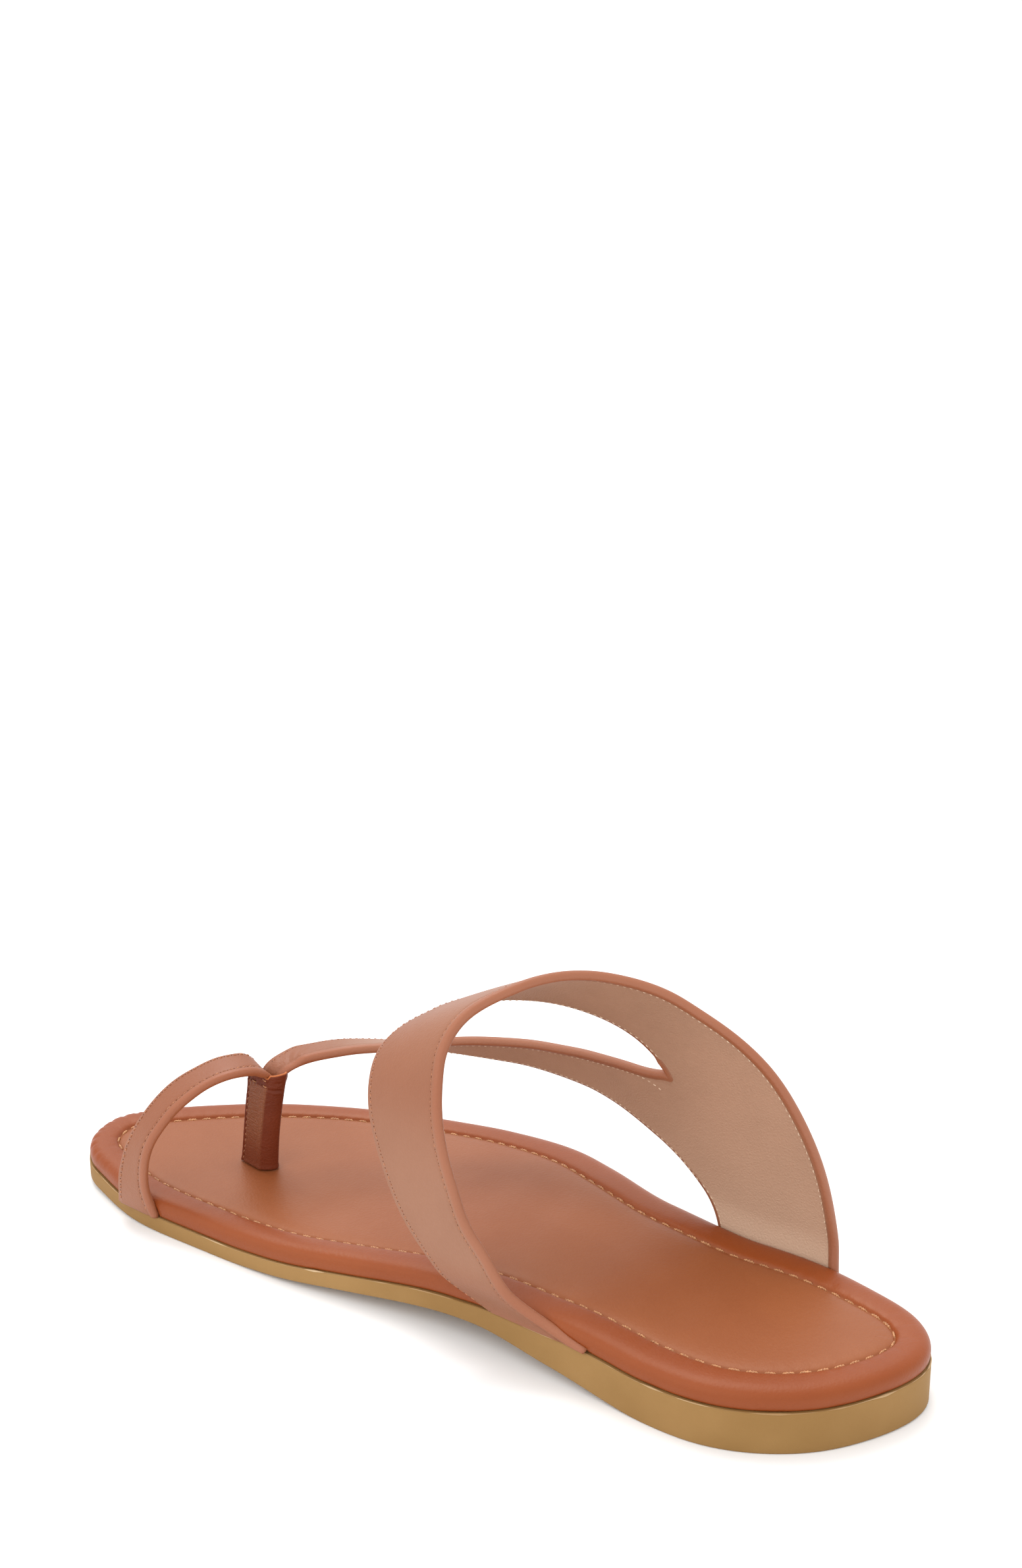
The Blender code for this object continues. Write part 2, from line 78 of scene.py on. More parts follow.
# Outline of the sole: share of the length, medial and lateral side in shares of the ball width
OUTLINE: Table = (
    (0.00, -0.059, 0.059), (0.03, 0.175, 0.213), (0.08, 0.330, 0.282), (0.16, 0.428, 0.340),
    (0.26, 0.412, 0.355), (0.36, 0.388, 0.409), (0.46, 0.371, 0.527), (0.56, 0.383, 0.593),
    (0.65, 0.405, 0.599), (0.73, 0.403, 0.560), (0.81, 0.394, 0.469), (0.88, 0.374, 0.346),
    (0.94, 0.313, 0.192), (0.965, 0.281, 0.112), (0.982, 0.240, 0.045), (0.994, 0.184, -0.010),
    (1.00, 0.085, -0.085),
)

# Underside: along, share of the arch lift
ARCH: Table = (
    (0.00, 0.0), (0.22, 0.0), (0.33, 0.55), (0.42, 1.0), (0.58, 0.46), (0.68, 0.10),
    (0.745, 0.0), (1.00, 0.0),
)

# Underside: along, share of the toe spring
SPRING: Table = ((0.00, 0.16), (0.07, 0.0), (0.80, 0.0), (0.90, 0.35), (1.00, 1.0))

# Thickness of the outsole: along, share of the heel rubber, share of the forefoot rubber
RUBBER: Table = (
    (0.00, 1.00, 0.00), (0.25, 0.95, 0.00), (0.45, 0.00, 1.15), (0.65, 0.00, 1.00),
    (0.85, 0.00, 1.06), (1.00, 0.00, 1.20),
)

# Side of the outsole: inset in millimetres, rise in millimetres, from the underside (0) or top (1)
RUBBER_SIDE: Table = (
    (0.55, 0.00, 0), (0.28, 0.04, 0), (0.10, 0.16, 0), (0.02, 0.36, 0), (0.00, 0.62, 0),
    (0.02, -0.60, 1), (0.03, -0.30, 1), (0.09, -0.10, 1), (0.22, -0.01, 1), (0.70, 0.00, 1),
)

# Width of the padded rim: along, share of the pad rim
RIM_WIDTH: Table = (
    (0.00, 0.94), (0.08, 1.00), (0.25, 1.10), (0.42, 1.06), (0.60, 0.93), (0.80, 0.90),
    (0.88, 0.93), (0.94, 0.93), (1.00, 0.88),
)

# Section of the footbed's leather: inset as a share of the rim width, rise as a share of the
# footbed height, and how far it keeps from a strap that lies against it, in millimetres
PAD_SECTION: Table = (
    (0.070, 0.020, 0.30), (0.022, 0.150, 0.14), (0.000, 0.440, 0.08), (0.036, 0.710, 0.08),
    (0.150, 0.905, 0.10), (0.340, 1.010, 0.14), (0.560, 1.025, 0.14), (0.770, 0.995, 0.14),
    (0.905, 0.930, 0.14), (0.964, 0.845, 0.14), (1.000, 0.800, 0.14), (1.042, 0.835, 0.14),
    (1.140, 0.893, 0.14), (1.320, 0.935, 0.14), (1.520, 0.955, 0.14),
)
# Rows of that section: at the bottom of the groove, and the first one that yields to no strap
GROOVE_ROW = 10
CROWN_ROW = 7

# Where a strap lies against the rim: height over the outsole in millimetres, first along, last
# along, and how far it stands inside the outline there, in millimetres
SEAT_MEDIAL: Table = (
    (0.0, 0.280, 0.402, 1.78), (1.3, 0.298, 0.410, 1.60), (2.6, 0.318, 0.418, 1.13),
    (3.9, 0.326, 0.425, 0.46), (5.1, 0.334, 0.433, -0.20),
)
SEAT_LATERAL: Table = (
    (0.0, 0.132, 0.269, 1.78), (1.3, 0.133, 0.272, 1.66), (2.6, 0.134, 0.276, 1.36),
    (3.9, 0.135, 0.279, 0.94), (5.1, 0.136, 0.282, 0.48),
)
SEAT_LOOP: Table = (
    (0.0, 0.833, 0.893, 1.05), (1.5, 0.835, 0.891, 0.85), (3.0, 0.837, 0.889, 0.60),
    (4.6, 0.838, 0.887, 0.34), (5.1, 0.839, 0.886, 0.28),
)

# Shares of the length: how far beyond a strap the rim still yields, and how far within it fully does
SEAT_FADE = 0.007
SEAT_LAP = 0.001

# Depths in millimetres: how far outside the outline the yielding ends, and what stands for no strap
SEAT_START = 1.5
NO_SEAT = -9.0

# Sections of the last: along, ridge to the side, ridge height, medial and lateral fullness
LAST: Table = (
    (0.00, 0.000, 1.305, 2.00, 2.00), (0.12, 0.000, 1.230, 2.20, 2.20),
    (0.24, -0.024, 1.138, 2.40, 2.20), (0.35, -0.067, 1.008, 2.80, 2.00),
    (0.41, -0.085, 0.931, 3.00, 1.85), (0.46, -0.091, 0.869, 3.00, 1.75),
    (0.53, -0.098, 0.773, 2.80, 1.65), (0.60, -0.104, 0.673, 2.60, 1.60),
    (0.68, -0.098, 0.572, 2.40, 1.65), (0.78, -0.073, 0.460, 2.20, 1.80),
    (1.00, -0.049, 0.300, 2.00, 2.00),
)

# Wide strap and outer panel: along and around of the rear edge, then of the front edge
WIDE_STRAP: Table = (
    (0.281, 0.000, 0.402, 0.000), (0.318, 0.010, 0.409, 0.004), (0.366, 0.040, 0.418, 0.009),
    (0.393, 0.072, 0.436, 0.025), (0.415, 0.099, 0.461, 0.051), (0.430, 0.132, 0.490, 0.092),
    (0.443, 0.166, 0.515, 0.146), (0.452, 0.196, 0.536, 0.206), (0.458, 0.226, 0.549, 0.257),
    (0.462, 0.258, 0.556, 0.308), (0.465, 0.293, 0.558, 0.362), (0.463, 0.335, 0.551, 0.428),
    (0.456, 0.383, 0.534, 0.491), (0.443, 0.437, 0.513, 0.545), (0.429, 0.488, 0.491, 0.594),
    (0.411, 0.532, 0.467, 0.639), (0.393, 0.575, 0.443, 0.678), (0.374, 0.617, 0.419, 0.713),
    (0.349, 0.664, 0.395, 0.745), (0.314, 0.716, 0.373, 0.775), (0.286, 0.753, 0.354, 0.806),
    (0.253, 0.786, 0.338, 0.840), (0.216, 0.823, 0.325, 0.879), (0.185, 0.864, 0.313, 0.921),
    (0.158, 0.911, 0.301, 0.959), (0.142, 0.958, 0.280, 0.979), (0.132, 1.000, 0.269, 1.000),
)
# Rows of the wide strap between which the thin strap leaves it: the opening's tip and the place
# where the panel gets its own front edge
APEX_ROW = 21
ROOT_ROW = 24

# Thin strap: along, around and drop of its medial edge, then of its lateral edge
THIN_STRAP: Table = (
    (0.338, 0.840, 0.00, 0.301, 0.959, 0.00), (0.354, 0.835, 0.00, 0.328, 0.938, 0.00),
    (0.383, 0.825, 0.00, 0.361, 0.918, 0.00), (0.418, 0.815, 0.00, 0.397, 0.901, 0.00),
    (0.452, 0.804, -0.01, 0.433, 0.886, -0.01), (0.485, 0.791, -0.03, 0.469, 0.871, -0.03),
    (0.516, 0.776, -0.07, 0.504, 0.856, -0.07), (0.547, 0.761, -0.11, 0.537, 0.839, -0.12),
    (0.576, 0.744, -0.14, 0.570, 0.820, -0.16), (0.603, 0.727, -0.10, 0.601, 0.800, -0.19),
    (0.627, 0.708, 0.02, 0.632, 0.778, -0.21), (0.650, 0.685, 0.19, 0.663, 0.753, -0.21),
    (0.673, 0.660, 0.35, 0.693, 0.726, -0.20), (0.695, 0.633, 0.42, 0.721, 0.696, -0.17),
    (0.716, 0.608, 0.50, 0.744, 0.663, -0.10), (0.734, 0.586, 0.57, 0.765, 0.630, 0.03),
    (0.746, 0.570, 0.67, 0.779, 0.594, 0.12), (0.756, 0.552, 0.87, 0.788, 0.556, 0.43),
    (0.760, 0.546, 1.31, 0.791, 0.542, 0.91), (0.761, 0.545, 1.78, 0.793, 0.540, 1.36),
)

# Toe loop: side, along and rise of its rear edge, then of its front edge
TOE_LOOP: Table = (
    (-0.388, 0.833, 0.000, -0.377, 0.893, 0.000), (-0.398, 0.838, 0.120, -0.392, 0.887, 0.124),
    (-0.406, 0.840, 0.237, -0.396, 0.884, 0.240), (-0.410, 0.839, 0.353, -0.387, 0.881, 0.357),
    (-0.406, 0.837, 0.466, -0.367, 0.878, 0.472), (-0.389, 0.833, 0.582, -0.338, 0.873, 0.588),
    (-0.360, 0.826, 0.690, -0.301, 0.866, 0.700), (-0.322, 0.818, 0.790, -0.259, 0.857, 0.806),
    (-0.277, 0.808, 0.873, -0.212, 0.847, 0.887), (-0.229, 0.798, 0.934, -0.162, 0.835, 0.947),
    (-0.177, 0.785, 0.974, -0.110, 0.823, 0.990), (-0.128, 0.775, 0.974, -0.069, 0.812, 1.004),
    (-0.082, 0.769, 0.946, -0.033, 0.805, 0.992), (-0.046, 0.765, 0.898, -0.017, 0.799, 0.948),
    (-0.028, 0.764, 0.862, -0.017, 0.796, 0.876), (-0.026, 0.765, 0.761, -0.020, 0.796, 0.768),
    (-0.024, 0.767, 0.659, -0.021, 0.797, 0.663),
)

# Share of the length at which the toe post stands
POST_PLACE = 0.775

# Toe post: share of its height, side and along of its centre, share of its length and thickness
TOE_POST: Table = (
    (0.00, -0.0122, 0.7912, 1.00, 0.98), (0.34, -0.0122, 0.7866, 0.97, 0.97),
    (0.61, -0.0118, 0.7819, 0.98, 1.00), (0.79, -0.0112, 0.7782, 0.99, 1.04),
    (1.00, -0.0108, 0.7745, 1.07, 1.13),
)


def smooth(table: Table, column: int, at: np.ndarray) -> np.ndarray:
    """Monotone cubic through a table's column, which keeps level stretches level.

    Args:
        table: rows that start with a rising knot.
        column: the column to read.
        at: where to read it.

    Returns:
        The column's value at each place.
    """
    rows = np.asarray(table, float)
    knots, values = rows[:, 0], rows[:, column]
    at = np.clip(np.asarray(at, float), knots[0], knots[-1])
    step = np.diff(knots)
    slope = np.diff(values) / step
    tangent = np.zeros_like(values)
    tangent[0], tangent[-1] = slope[0], slope[-1]
    for k in range(1, len(knots) - 1):
        if slope[k - 1] * slope[k] > 0:
            before = 2 * step[k] + step[k - 1]
            after = step[k] + 2 * step[k - 1]
            tangent[k] = (before + after) / (before / slope[k - 1] + after / slope[k])
    i = np.clip(np.searchsorted(knots, at, side="right") - 1, 0, len(step) - 1)
    s = (at - knots[i]) / step[i]
    rise = s * s * (3 - 2 * s)
    ends = (1 - rise) * values[i] + rise * values[i + 1]
    return ends + s * (1 - s) * step[i] * ((1 - s) * tangent[i] - s * tangent[i + 1])


def spline(knots: Sequence[float], values: Sequence[float], at: np.ndarray) -> np.ndarray:
    """Natural cubic spline through values at rising knots.

    Args:
        knots: rising places.
        values: the value at each knot.
        at: where to read the spline.

    Returns:
        The spline's value at each place.
    """
    knots, values = np.asarray(knots, float), np.asarray(values, float)
    count = len(knots)
    step = np.diff(knots)
    matrix, right = np.eye(count), np.zeros(count)
    for k in range(1, count - 1):
        matrix[k, k - 1:k + 2] = step[k - 1], 2 * (step[k - 1] + step[k]), step[k]
        slopes = (values[k + 1] - values[k]) / step[k], (values[k] - values[k - 1]) / step[k - 1]
        right[k] = 6 * (slopes[0] - slopes[1])
    bend = np.linalg.solve(matrix, right)
    i = np.clip(np.searchsorted(knots, at, side="right") - 1, 0, count - 2)
    a = (knots[i + 1] - at) / step[i]
    b = (np.asarray(at, float) - knots[i]) / step[i]
    curve = (a ** 3 - a) * bend[i] + (b ** 3 - b) * bend[i + 1]
    return a * values[i] + b * values[i + 1] + curve * step[i] ** 2 / 6


def ease(value: np.ndarray | float, low: float, high: float) -> np.ndarray:
    """Smooth step from 0 at low to 1 at high."""
    share = np.clip((np.asarray(value, float) - low) / (high - low), 0, 1)
    return share * share * (3 - 2 * share)


def table_rows(table: Table, at: np.ndarray) -> np.ndarray:
    """Rows of a table at fractional row numbers, by splines through its columns."""
    knots = np.arange(len(table))
    columns = np.asarray(table, float).T
    return np.stack([spline(knots, column, at) for column in columns], axis=1)


def fine_rows(table: Table, steps: int) -> np.ndarray:
    """Fractional row numbers of a table, with a number of steps from row to row."""
    return np.linspace(0, len(table) - 1, (len(table) - 1) * steps + 1)


def between_edges(rows: np.ndarray, shares: np.ndarray) -> list[np.ndarray]:
    """Values between the two edges of a strap.

    Args:
        rows: the values at the first edge and then at the other edge, for each row of the strap.
        shares: shares of the way across, for each row.

    Returns:
        One grid of places for each kind of value.
    """
    half = rows.shape[1] // 2
    near, far = rows[:, :half], rows[:, half:]
    return [near[:, k, None] + (far[:, k, None] - near[:, k, None]) * shares for k in range(half)]


def arc_lengths(points: np.ndarray) -> np.ndarray:
    """Distance along a line at each of its points."""
    return np.r_[0, np.cumsum(np.linalg.norm(np.diff(points, axis=0), axis=1))]


def unit(vectors: np.ndarray) -> np.ndarray:
    """Vectors of length one."""
    return vectors / np.maximum(np.linalg.norm(vectors, axis=-1, keepdims=True), 1e-12)


@dataclass(frozen=True)
class Last:
    """The sizes of the sandal and the shapes that follow from them."""

    length: float = 0.243
    ball_width: float = 0.082
    instep_height: float = 0.0935
    heel_rubber: float = 0.0108
    forefoot_rubber: float = 0.0042
    arch_lift: float = 0.0065
    toe_spring: float = 0.0016
    footbed_height: float = 0.0051
    footbed_inset: float = 0.0003
    pad_rim: float = 0.0089
    strap_wall: float = 0.0022
    strap_proud: float = 0.0005
    strap_seat: float = 0.00045
    medial_bulge: float = 0.0025
    lateral_bulge: float = 0.0005
    tuck_height: float = 0.0110
    toe_drop: float = 0.0080
    joint_gap: float = 0.0003

    def bottom(self, along: np.ndarray) -> np.ndarray:
        """Height of the outsole's underside."""
        return self.arch_lift * smooth(ARCH, 1, along) + self.toe_spring * smooth(SPRING, 1, along)

    def top(self, along: np.ndarray) -> np.ndarray:
        """Height of the outsole's top."""
        heel = self.heel_rubber * smooth(RUBBER, 1, along)
        return self.bottom(along) + heel + self.forefoot_rubber * smooth(RUBBER, 2, along)

    def outline(self, stations: int) -> tuple[np.ndarray, np.ndarray]:
        """Outline of the sole, medial side from heel to toe and then the lateral side back.

        Args:
            stations: the number of steps on each side.

        Returns:
            The places on the floor plane and their outward normals.
        """
        lateral = [(row[2] * self.ball_width, row[0] * self.length) for row in OUTLINE]
        medial = [(-row[1] * self.ball_width, row[0] * self.length) for row in OUTLINE[-2:0:-1]]
        loop = np.array(lateral + medial)
        # Knots repeated at each end, points along the whole curve, and points to both sides of a
        # normal's foot
        wrap, samples, reach = 4, 8000, 8
        points = np.vstack([loop[-wrap:], loop, loop[:wrap + 1]])
        chord = np.r_[0, np.cumsum(np.sqrt(np.linalg.norm(np.diff(points, axis=0), axis=1)))]
        fine = np.linspace(chord[wrap], chord[wrap + len(loop)], samples + 1)[:-1]
        x, y = spline(chord, points[:, 0], fine), spline(chord, points[:, 1], fine)
        y = (y - y.min()) * self.length / (y.max() - y.min())
        heel = int(y.argmin())
        x, y = np.roll(x, -heel), np.roll(y, -heel)
        toe = int(y.argmax())
        marks = self.length * (1 - np.cos(np.linspace(0, math.pi, stations + 1))) / 2
        index = np.arange(len(x) + 1)
        x, y = np.r_[x, x[0]], np.r_[y, y[0]]
        up = np.interp(marks, y[:toe + 1], index[:toe + 1])
        down = np.interp(marks, y[toe:][::-1], index[toe:][::-1])
        order = np.r_[down[:-1], up[:0:-1]]
        places = np.stack([np.interp(order, index, x), np.interp(order, index, y)], axis=1)
        ahead, behind = np.mod(order + reach, len(x) - 1), np.mod(order - reach, len(x) - 1)
        run_x = np.interp(ahead, index, x) - np.interp(behind, index, x)
        run_y = np.interp(ahead, index, y) - np.interp(behind, index, y)
        size = np.hypot(run_x, run_y)
        return places, np.stack([run_y / size, -run_x / size], axis=1)

    def surface(self, along: np.ndarray, around: np.ndarray, drop: np.ndarray) -> np.ndarray:
        """Points of the last's surface, drawn in at the feather edge.

        Args:
            along: shares of the length.
            around: shares of the half turn from the medial to the lateral side.
            drop: how far below the last, in shares of the toe drop.

        Returns:
            One point for each set of shares.
        """
        along, around = np.asarray(along, float), np.clip(np.asarray(around, float), 0, 1)
        knots = [row[0] for row in LAST]
        shape = [spline(knots, [row[k] for row in LAST], along) for k in range(1, 5)]
        ridge, top = self.ball_width * shape[0], self.instep_height * shape[1]
        base = self.top(along) + self.strap_seat
        medial = around < 0.5
        inner = self.ball_width * smooth(OUTLINE, 1, along) + self.medial_bulge + ridge
        outer = self.ball_width * smooth(OUTLINE, 2, along) + self.lateral_bulge - ridge
        reach = np.where(medial, inner, outer)
        full = np.where(medial, shape[2], shape[3])
        side = np.where(medial, -1.0, 1.0)
        bulge = np.where(medial, self.medial_bulge, self.lateral_bulge)
        across = np.abs(np.cos(math.pi * around))
        up = np.maximum(np.sin(math.pi * around), 1e-9)
        scale = (across ** full + up ** full) ** (-1 / full)
        height = (top - base) * up * scale
        free = ease(height, 0, self.tuck_height)
        tuck = (bulge + self.strap_wall - self.strap_proud) * (1 - free)
        x = ridge + side * (reach * across * scale - tuck)
        return np.stack([x, along * self.length, base + height - drop * self.toe_drop], axis=-1)

    def seat_depth(self, places: np.ndarray, stations: int, height: float) -> np.ndarray:
        """How far inside the outline the rim has to stay for the straps' ends.

        Args:
            places: points of the outline.
            stations: the number of steps on each side.
            height: height over the outsole's top.

        Returns:
            The least inset at each point, and a large negative number away from the straps.
        """
        along = places[:, 1] / self.length
        medial = np.arange(len(places)) <= stations
        away = NO_SEAT * MM
        depth = np.full(len(places), away)
        for table, side in ((SEAT_MEDIAL, medial), (SEAT_LATERAL, ~medial), (SEAT_LOOP, medial)):
            first, last, inset = (float(smooth(table, k, height / MM)) for k in (1, 2, 3))
            window = ease(along, first - SEAT_FADE, first + SEAT_LAP)
            window = window * (1 - ease(along, last - SEAT_LAP, last + SEAT_FADE))
            need = (inset + SEAT_START) * MM * window - SEAT_START * MM
            depth = np.maximum(depth, np.where(side & (window > 0), need, away))
        return depth


@dataclass
class Shape:
    """A mesh in the making: points, faces and values kept on the points."""

    points: np.ndarray
    faces: Faces
    values: dict[str, np.ndarray] = field(default_factory=dict)

    def build(
            self, name: str, shift: np.ndarray, materials: Sequence[bpy.types.Material]) -> bpy.types.Object:
        """Makes the object, with its place in its mesh.

        Args:
            name: the piece's name.
            shift: the move from the shoe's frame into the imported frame.
            materials: its materials in slot order.

        Returns:
            The object, linked to the scene.
        """
        mesh = bpy.data.meshes.new(name)
        mesh.from_pydata((self.points + shift).tolist(), [], self.faces)
        mesh.validate()
        for key, value in self.values.items():
            layer = mesh.attributes.new(key, "FLOAT", "POINT")
            layer.data.foreach_set("value", np.asarray(value, np.float32))
        for material in materials:
            mesh.materials.append(material)
        mesh.polygons.foreach_set("use_smooth", [True] * len(mesh.polygons))
        piece = bpy.data.objects.new(name, mesh)
        bpy.context.scene.collection.objects.link(piece)
        return piece


def grid_faces(ids: np.ndarray) -> Faces:
    """Quads of a grid of vertex numbers."""
    quads = np.stack([ids[:-1, :-1], ids[1:, :-1], ids[1:, 1:], ids[:-1, 1:]], axis=-1)
    return [tuple(int(v) for v in quad) for quad in quads.reshape(-1, 4)]


def ring_faces(ids: np.ndarray) -> Faces:
    """Quads between closed rings of vertex numbers, one ring a row."""
    return grid_faces(np.column_stack([ids, ids[:, 0]]))


def sheet_normals(points: np.ndarray, faces: Faces) -> np.ndarray:
    """Normals of an open sheet at its points."""
    quads = np.array(faces)
    cross = np.cross(points[quads[:, 2]] - points[quads[:, 0]], points[quads[:, 3]] - points[quads[:, 1]])
    normals = np.zeros_like(points)
    for k in range(4):
        np.add.at(normals, quads[:, k], cross)
    return unit(normals)


def boundary_loop(faces: Faces) -> np.ndarray:
    """The sheet's one open border, in the order that its faces run."""
    after: dict[int, int] = {}
    edges = {(face[k], face[(k + 1) % 4]) for face in faces for k in range(4)}
    for start, end in edges:
        if (end, start) not in edges:
            after[start] = end
    first = min(after)
    loop = [first]
    while after[loop[-1]] != first:
        loop.append(after[loop[-1]])
    return np.array(loop)


@dataclass
class Sheet:
    """An open leather sheet, its wall to both sides, and which border points are which edge."""

    points: np.ndarray
    faces: Faces
    out: np.ndarray
    inn: np.ndarray
    rolled: np.ndarray
    plain: np.ndarray
    round_steps: int = 7
    least_reach: float = 0.12 * MM

    def gap(self, flags: np.ndarray, reach: float) -> np.ndarray:
        """Distance of every point from the flagged border points, with the edge's own rounding."""
        edge = self.points[flags > 0.5]
        return np.array([np.linalg.norm(edge - point, axis=1).min() for point in self.points]) + reach

    def gaps(self) -> dict[str, np.ndarray]:
        """Distances of every point from the folded and from the plain edges, in millimetres."""
        return {
            "rolled_mm": self.gap(self.rolled, ROLL_REACH) / MM,
            "plain_mm": self.gap(self.plain, PLAIN_REACH) / MM,
        }

    def shell(
            self, relief: np.ndarray, sunk: np.ndarray, gaps: dict[str, np.ndarray],
    ) -> tuple[Shape, tuple[np.ndarray, ...]]:
        """Closes the sheet into a leather strap with rounded, folded edges.

        Args:
            relief: height added to the outer face at each point.
            sunk: how deep the lining lies below the folded edge at each point.
            gaps: distances from the edges, kept on the points in millimetres.

        Returns:
            A closed shape with the inner face marked on its points, and the outer points, the
            inner points and the outward normals of the sheet's points.
        """
        normals = sheet_normals(self.points, self.faces)
        count = len(self.points)
        outer = self.points + normals * (self.out + relief)[:, None]
        inner = self.points - normals * (self.inn - sunk)[:, None]
        faces = list(self.faces) + [tuple(v + count for v in face[::-1]) for face in self.faces]
        loop = boundary_loop(self.faces)
        edge, turn = self.points[loop], normals[loop]
        tangent = unit(np.roll(edge, -1, axis=0) - np.roll(edge, 1, axis=0))
        outward = unit(np.cross(tangent, turn))
        size = (ROLL_REACH * self.rolled + PLAIN_REACH * self.plain)[loop]
        size = np.maximum(size, self.least_reach)
        middle = (outer[loop] + inner[loop]) / 2
        half = np.linalg.norm(outer[loop] - inner[loop], axis=1) / 2
        points, rings, start = [outer, inner], [loop], 2 * count
        for k in range(1, self.round_steps):
            angle = math.pi * (0.5 - k / self.round_steps)
            aside, upright = size * math.cos(angle), half * math.sin(angle)
            points.append(middle + outward * aside[:, None] + turn * upright[:, None])
            rings.append(np.arange(start, start + len(loop)))
            start += len(loop)
        rings.append(loop + count)
        for upper, lower in zip(rings[:-1], rings[1:]):
            quads = np.stack([upper, lower, np.roll(lower, -1), np.roll(upper, -1)], axis=1)
            faces += [tuple(int(v) for v in quad) for quad in quads]
        arcs = np.zeros(len(loop) * (self.round_steps - 1))
        values = {name: np.r_[gap, gap, arcs] for name, gap in gaps.items()}
        values["inside"] = np.r_[np.zeros(count), np.ones(count), arcs]
        return Shape(np.vstack(points), faces, values), (outer, inner, normals)


def chord_shares(
        widths: np.ndarray, marks: Sequence[float], middle: int, near: np.ndarray, far: np.ndarray,
) -> np.ndarray:
    """Shares across a strap that keep fixed distances from its two edges.

    Args:
        widths: the strap's width at each row.
        marks: distances from each edge, starting at 0.
        middle: how many columns fill the rest.
        near: inset of the first column at each row.
        far: inset of the last column at each row.

    Returns:
        One row of shares for each row of the strap.
    """
    rows = []
    for width, low, high in zip(widths, near, far):
        first = low + np.array(marks)
        last = width - high - np.array(marks)[::-1]
        fill = np.linspace(first[-1], last[0], middle + 2)[1:-1]
        rows.append(np.r_[first, fill, last] / width)
    return np.array(rows)


class Board:
    """Places nodes in a node tree and joins them."""

    def __init__(self, tree: bpy.types.NodeTree) -> None:
        """Keeps the tree that the nodes go into."""
        self.tree = tree

    def add(self, kind: str, ins: dict | None = None, **settings: object) -> bpy.types.Node:
        """Places a node.

        Args:
            kind: the node's type.
            ins: constants or sockets for its inputs, by name or number.
            **settings: the node's own properties.

        Returns:
            The node.
        """
        node = self.tree.nodes.new(kind)
        for key, value in settings.items():
            setattr(node, key, value)
        for key, value in (ins or {}).items():
            if isinstance(value, bpy.types.NodeSocket):
                self.tree.links.new(value, node.inputs[key])
            else:
                node.inputs[key].default_value = value
        return node

    def out(self, kind: str, ins: dict | None = None, **settings: object) -> bpy.types.NodeSocket:
        """First output of a new node, whose inputs and properties are those of add."""
        return self.add(kind, ins, **settings).outputs[0]

    def place(self) -> bpy.types.NodeSocket:
        """Object coordinates."""
        return self.add("ShaderNodeTexCoord").outputs["Object"]

    def noise(self, place: object, scale: object, detail: float, roughness: float = 0.5) -> bpy.types.Node:
        """Noise texture with 1/scale metres from patch to patch."""
        ins = {"Vector": place, "Scale": scale, "Detail": detail, "Roughness": roughness}
        return self.add("ShaderNodeTexNoise", ins)

    def product(self, first: object, second: object) -> bpy.types.NodeSocket:
        """Product of two numbers."""
        return self.out("ShaderNodeMath", {0: first, 1: second}, operation="MULTIPLY")

    def mix(self, share: object, low: object, high: object) -> bpy.types.NodeSocket:
        """Colour between two colours."""
        ins = {0: share, 6: self.rgba(low), 7: self.rgba(high)}
        return self.add("ShaderNodeMix", ins, data_type="RGBA").outputs[2]

    def between(self, share: object, low: object, high: object) -> bpy.types.NodeSocket:
        """Number between two numbers."""
        return self.out("ShaderNodeMix", {0: share, 2: low, 3: high})

    def step(
            self, value: object, low: float, high: float, start: float = 0.0, end: float = 1.0,
    ) -> bpy.types.NodeSocket:
        """Smooth step of a value from start at low to end at high."""
        ins = {0: value, 1: low, 2: high, 3: start, 4: end}
        return self.out("ShaderNodeMapRange", ins, interpolation_type="SMOOTHSTEP")

    @staticmethod
    def rgba(colour: object) -> object:
        """A colour with its alpha, or the socket as it is."""
        return (*colour, 1.0) if isinstance(colour, tuple) else colour


class GrainKind(Enum):
    """The leathers' surface structures."""

    SMOOTH = "smooth grain"
    PEBBLED = "pebbled grain"


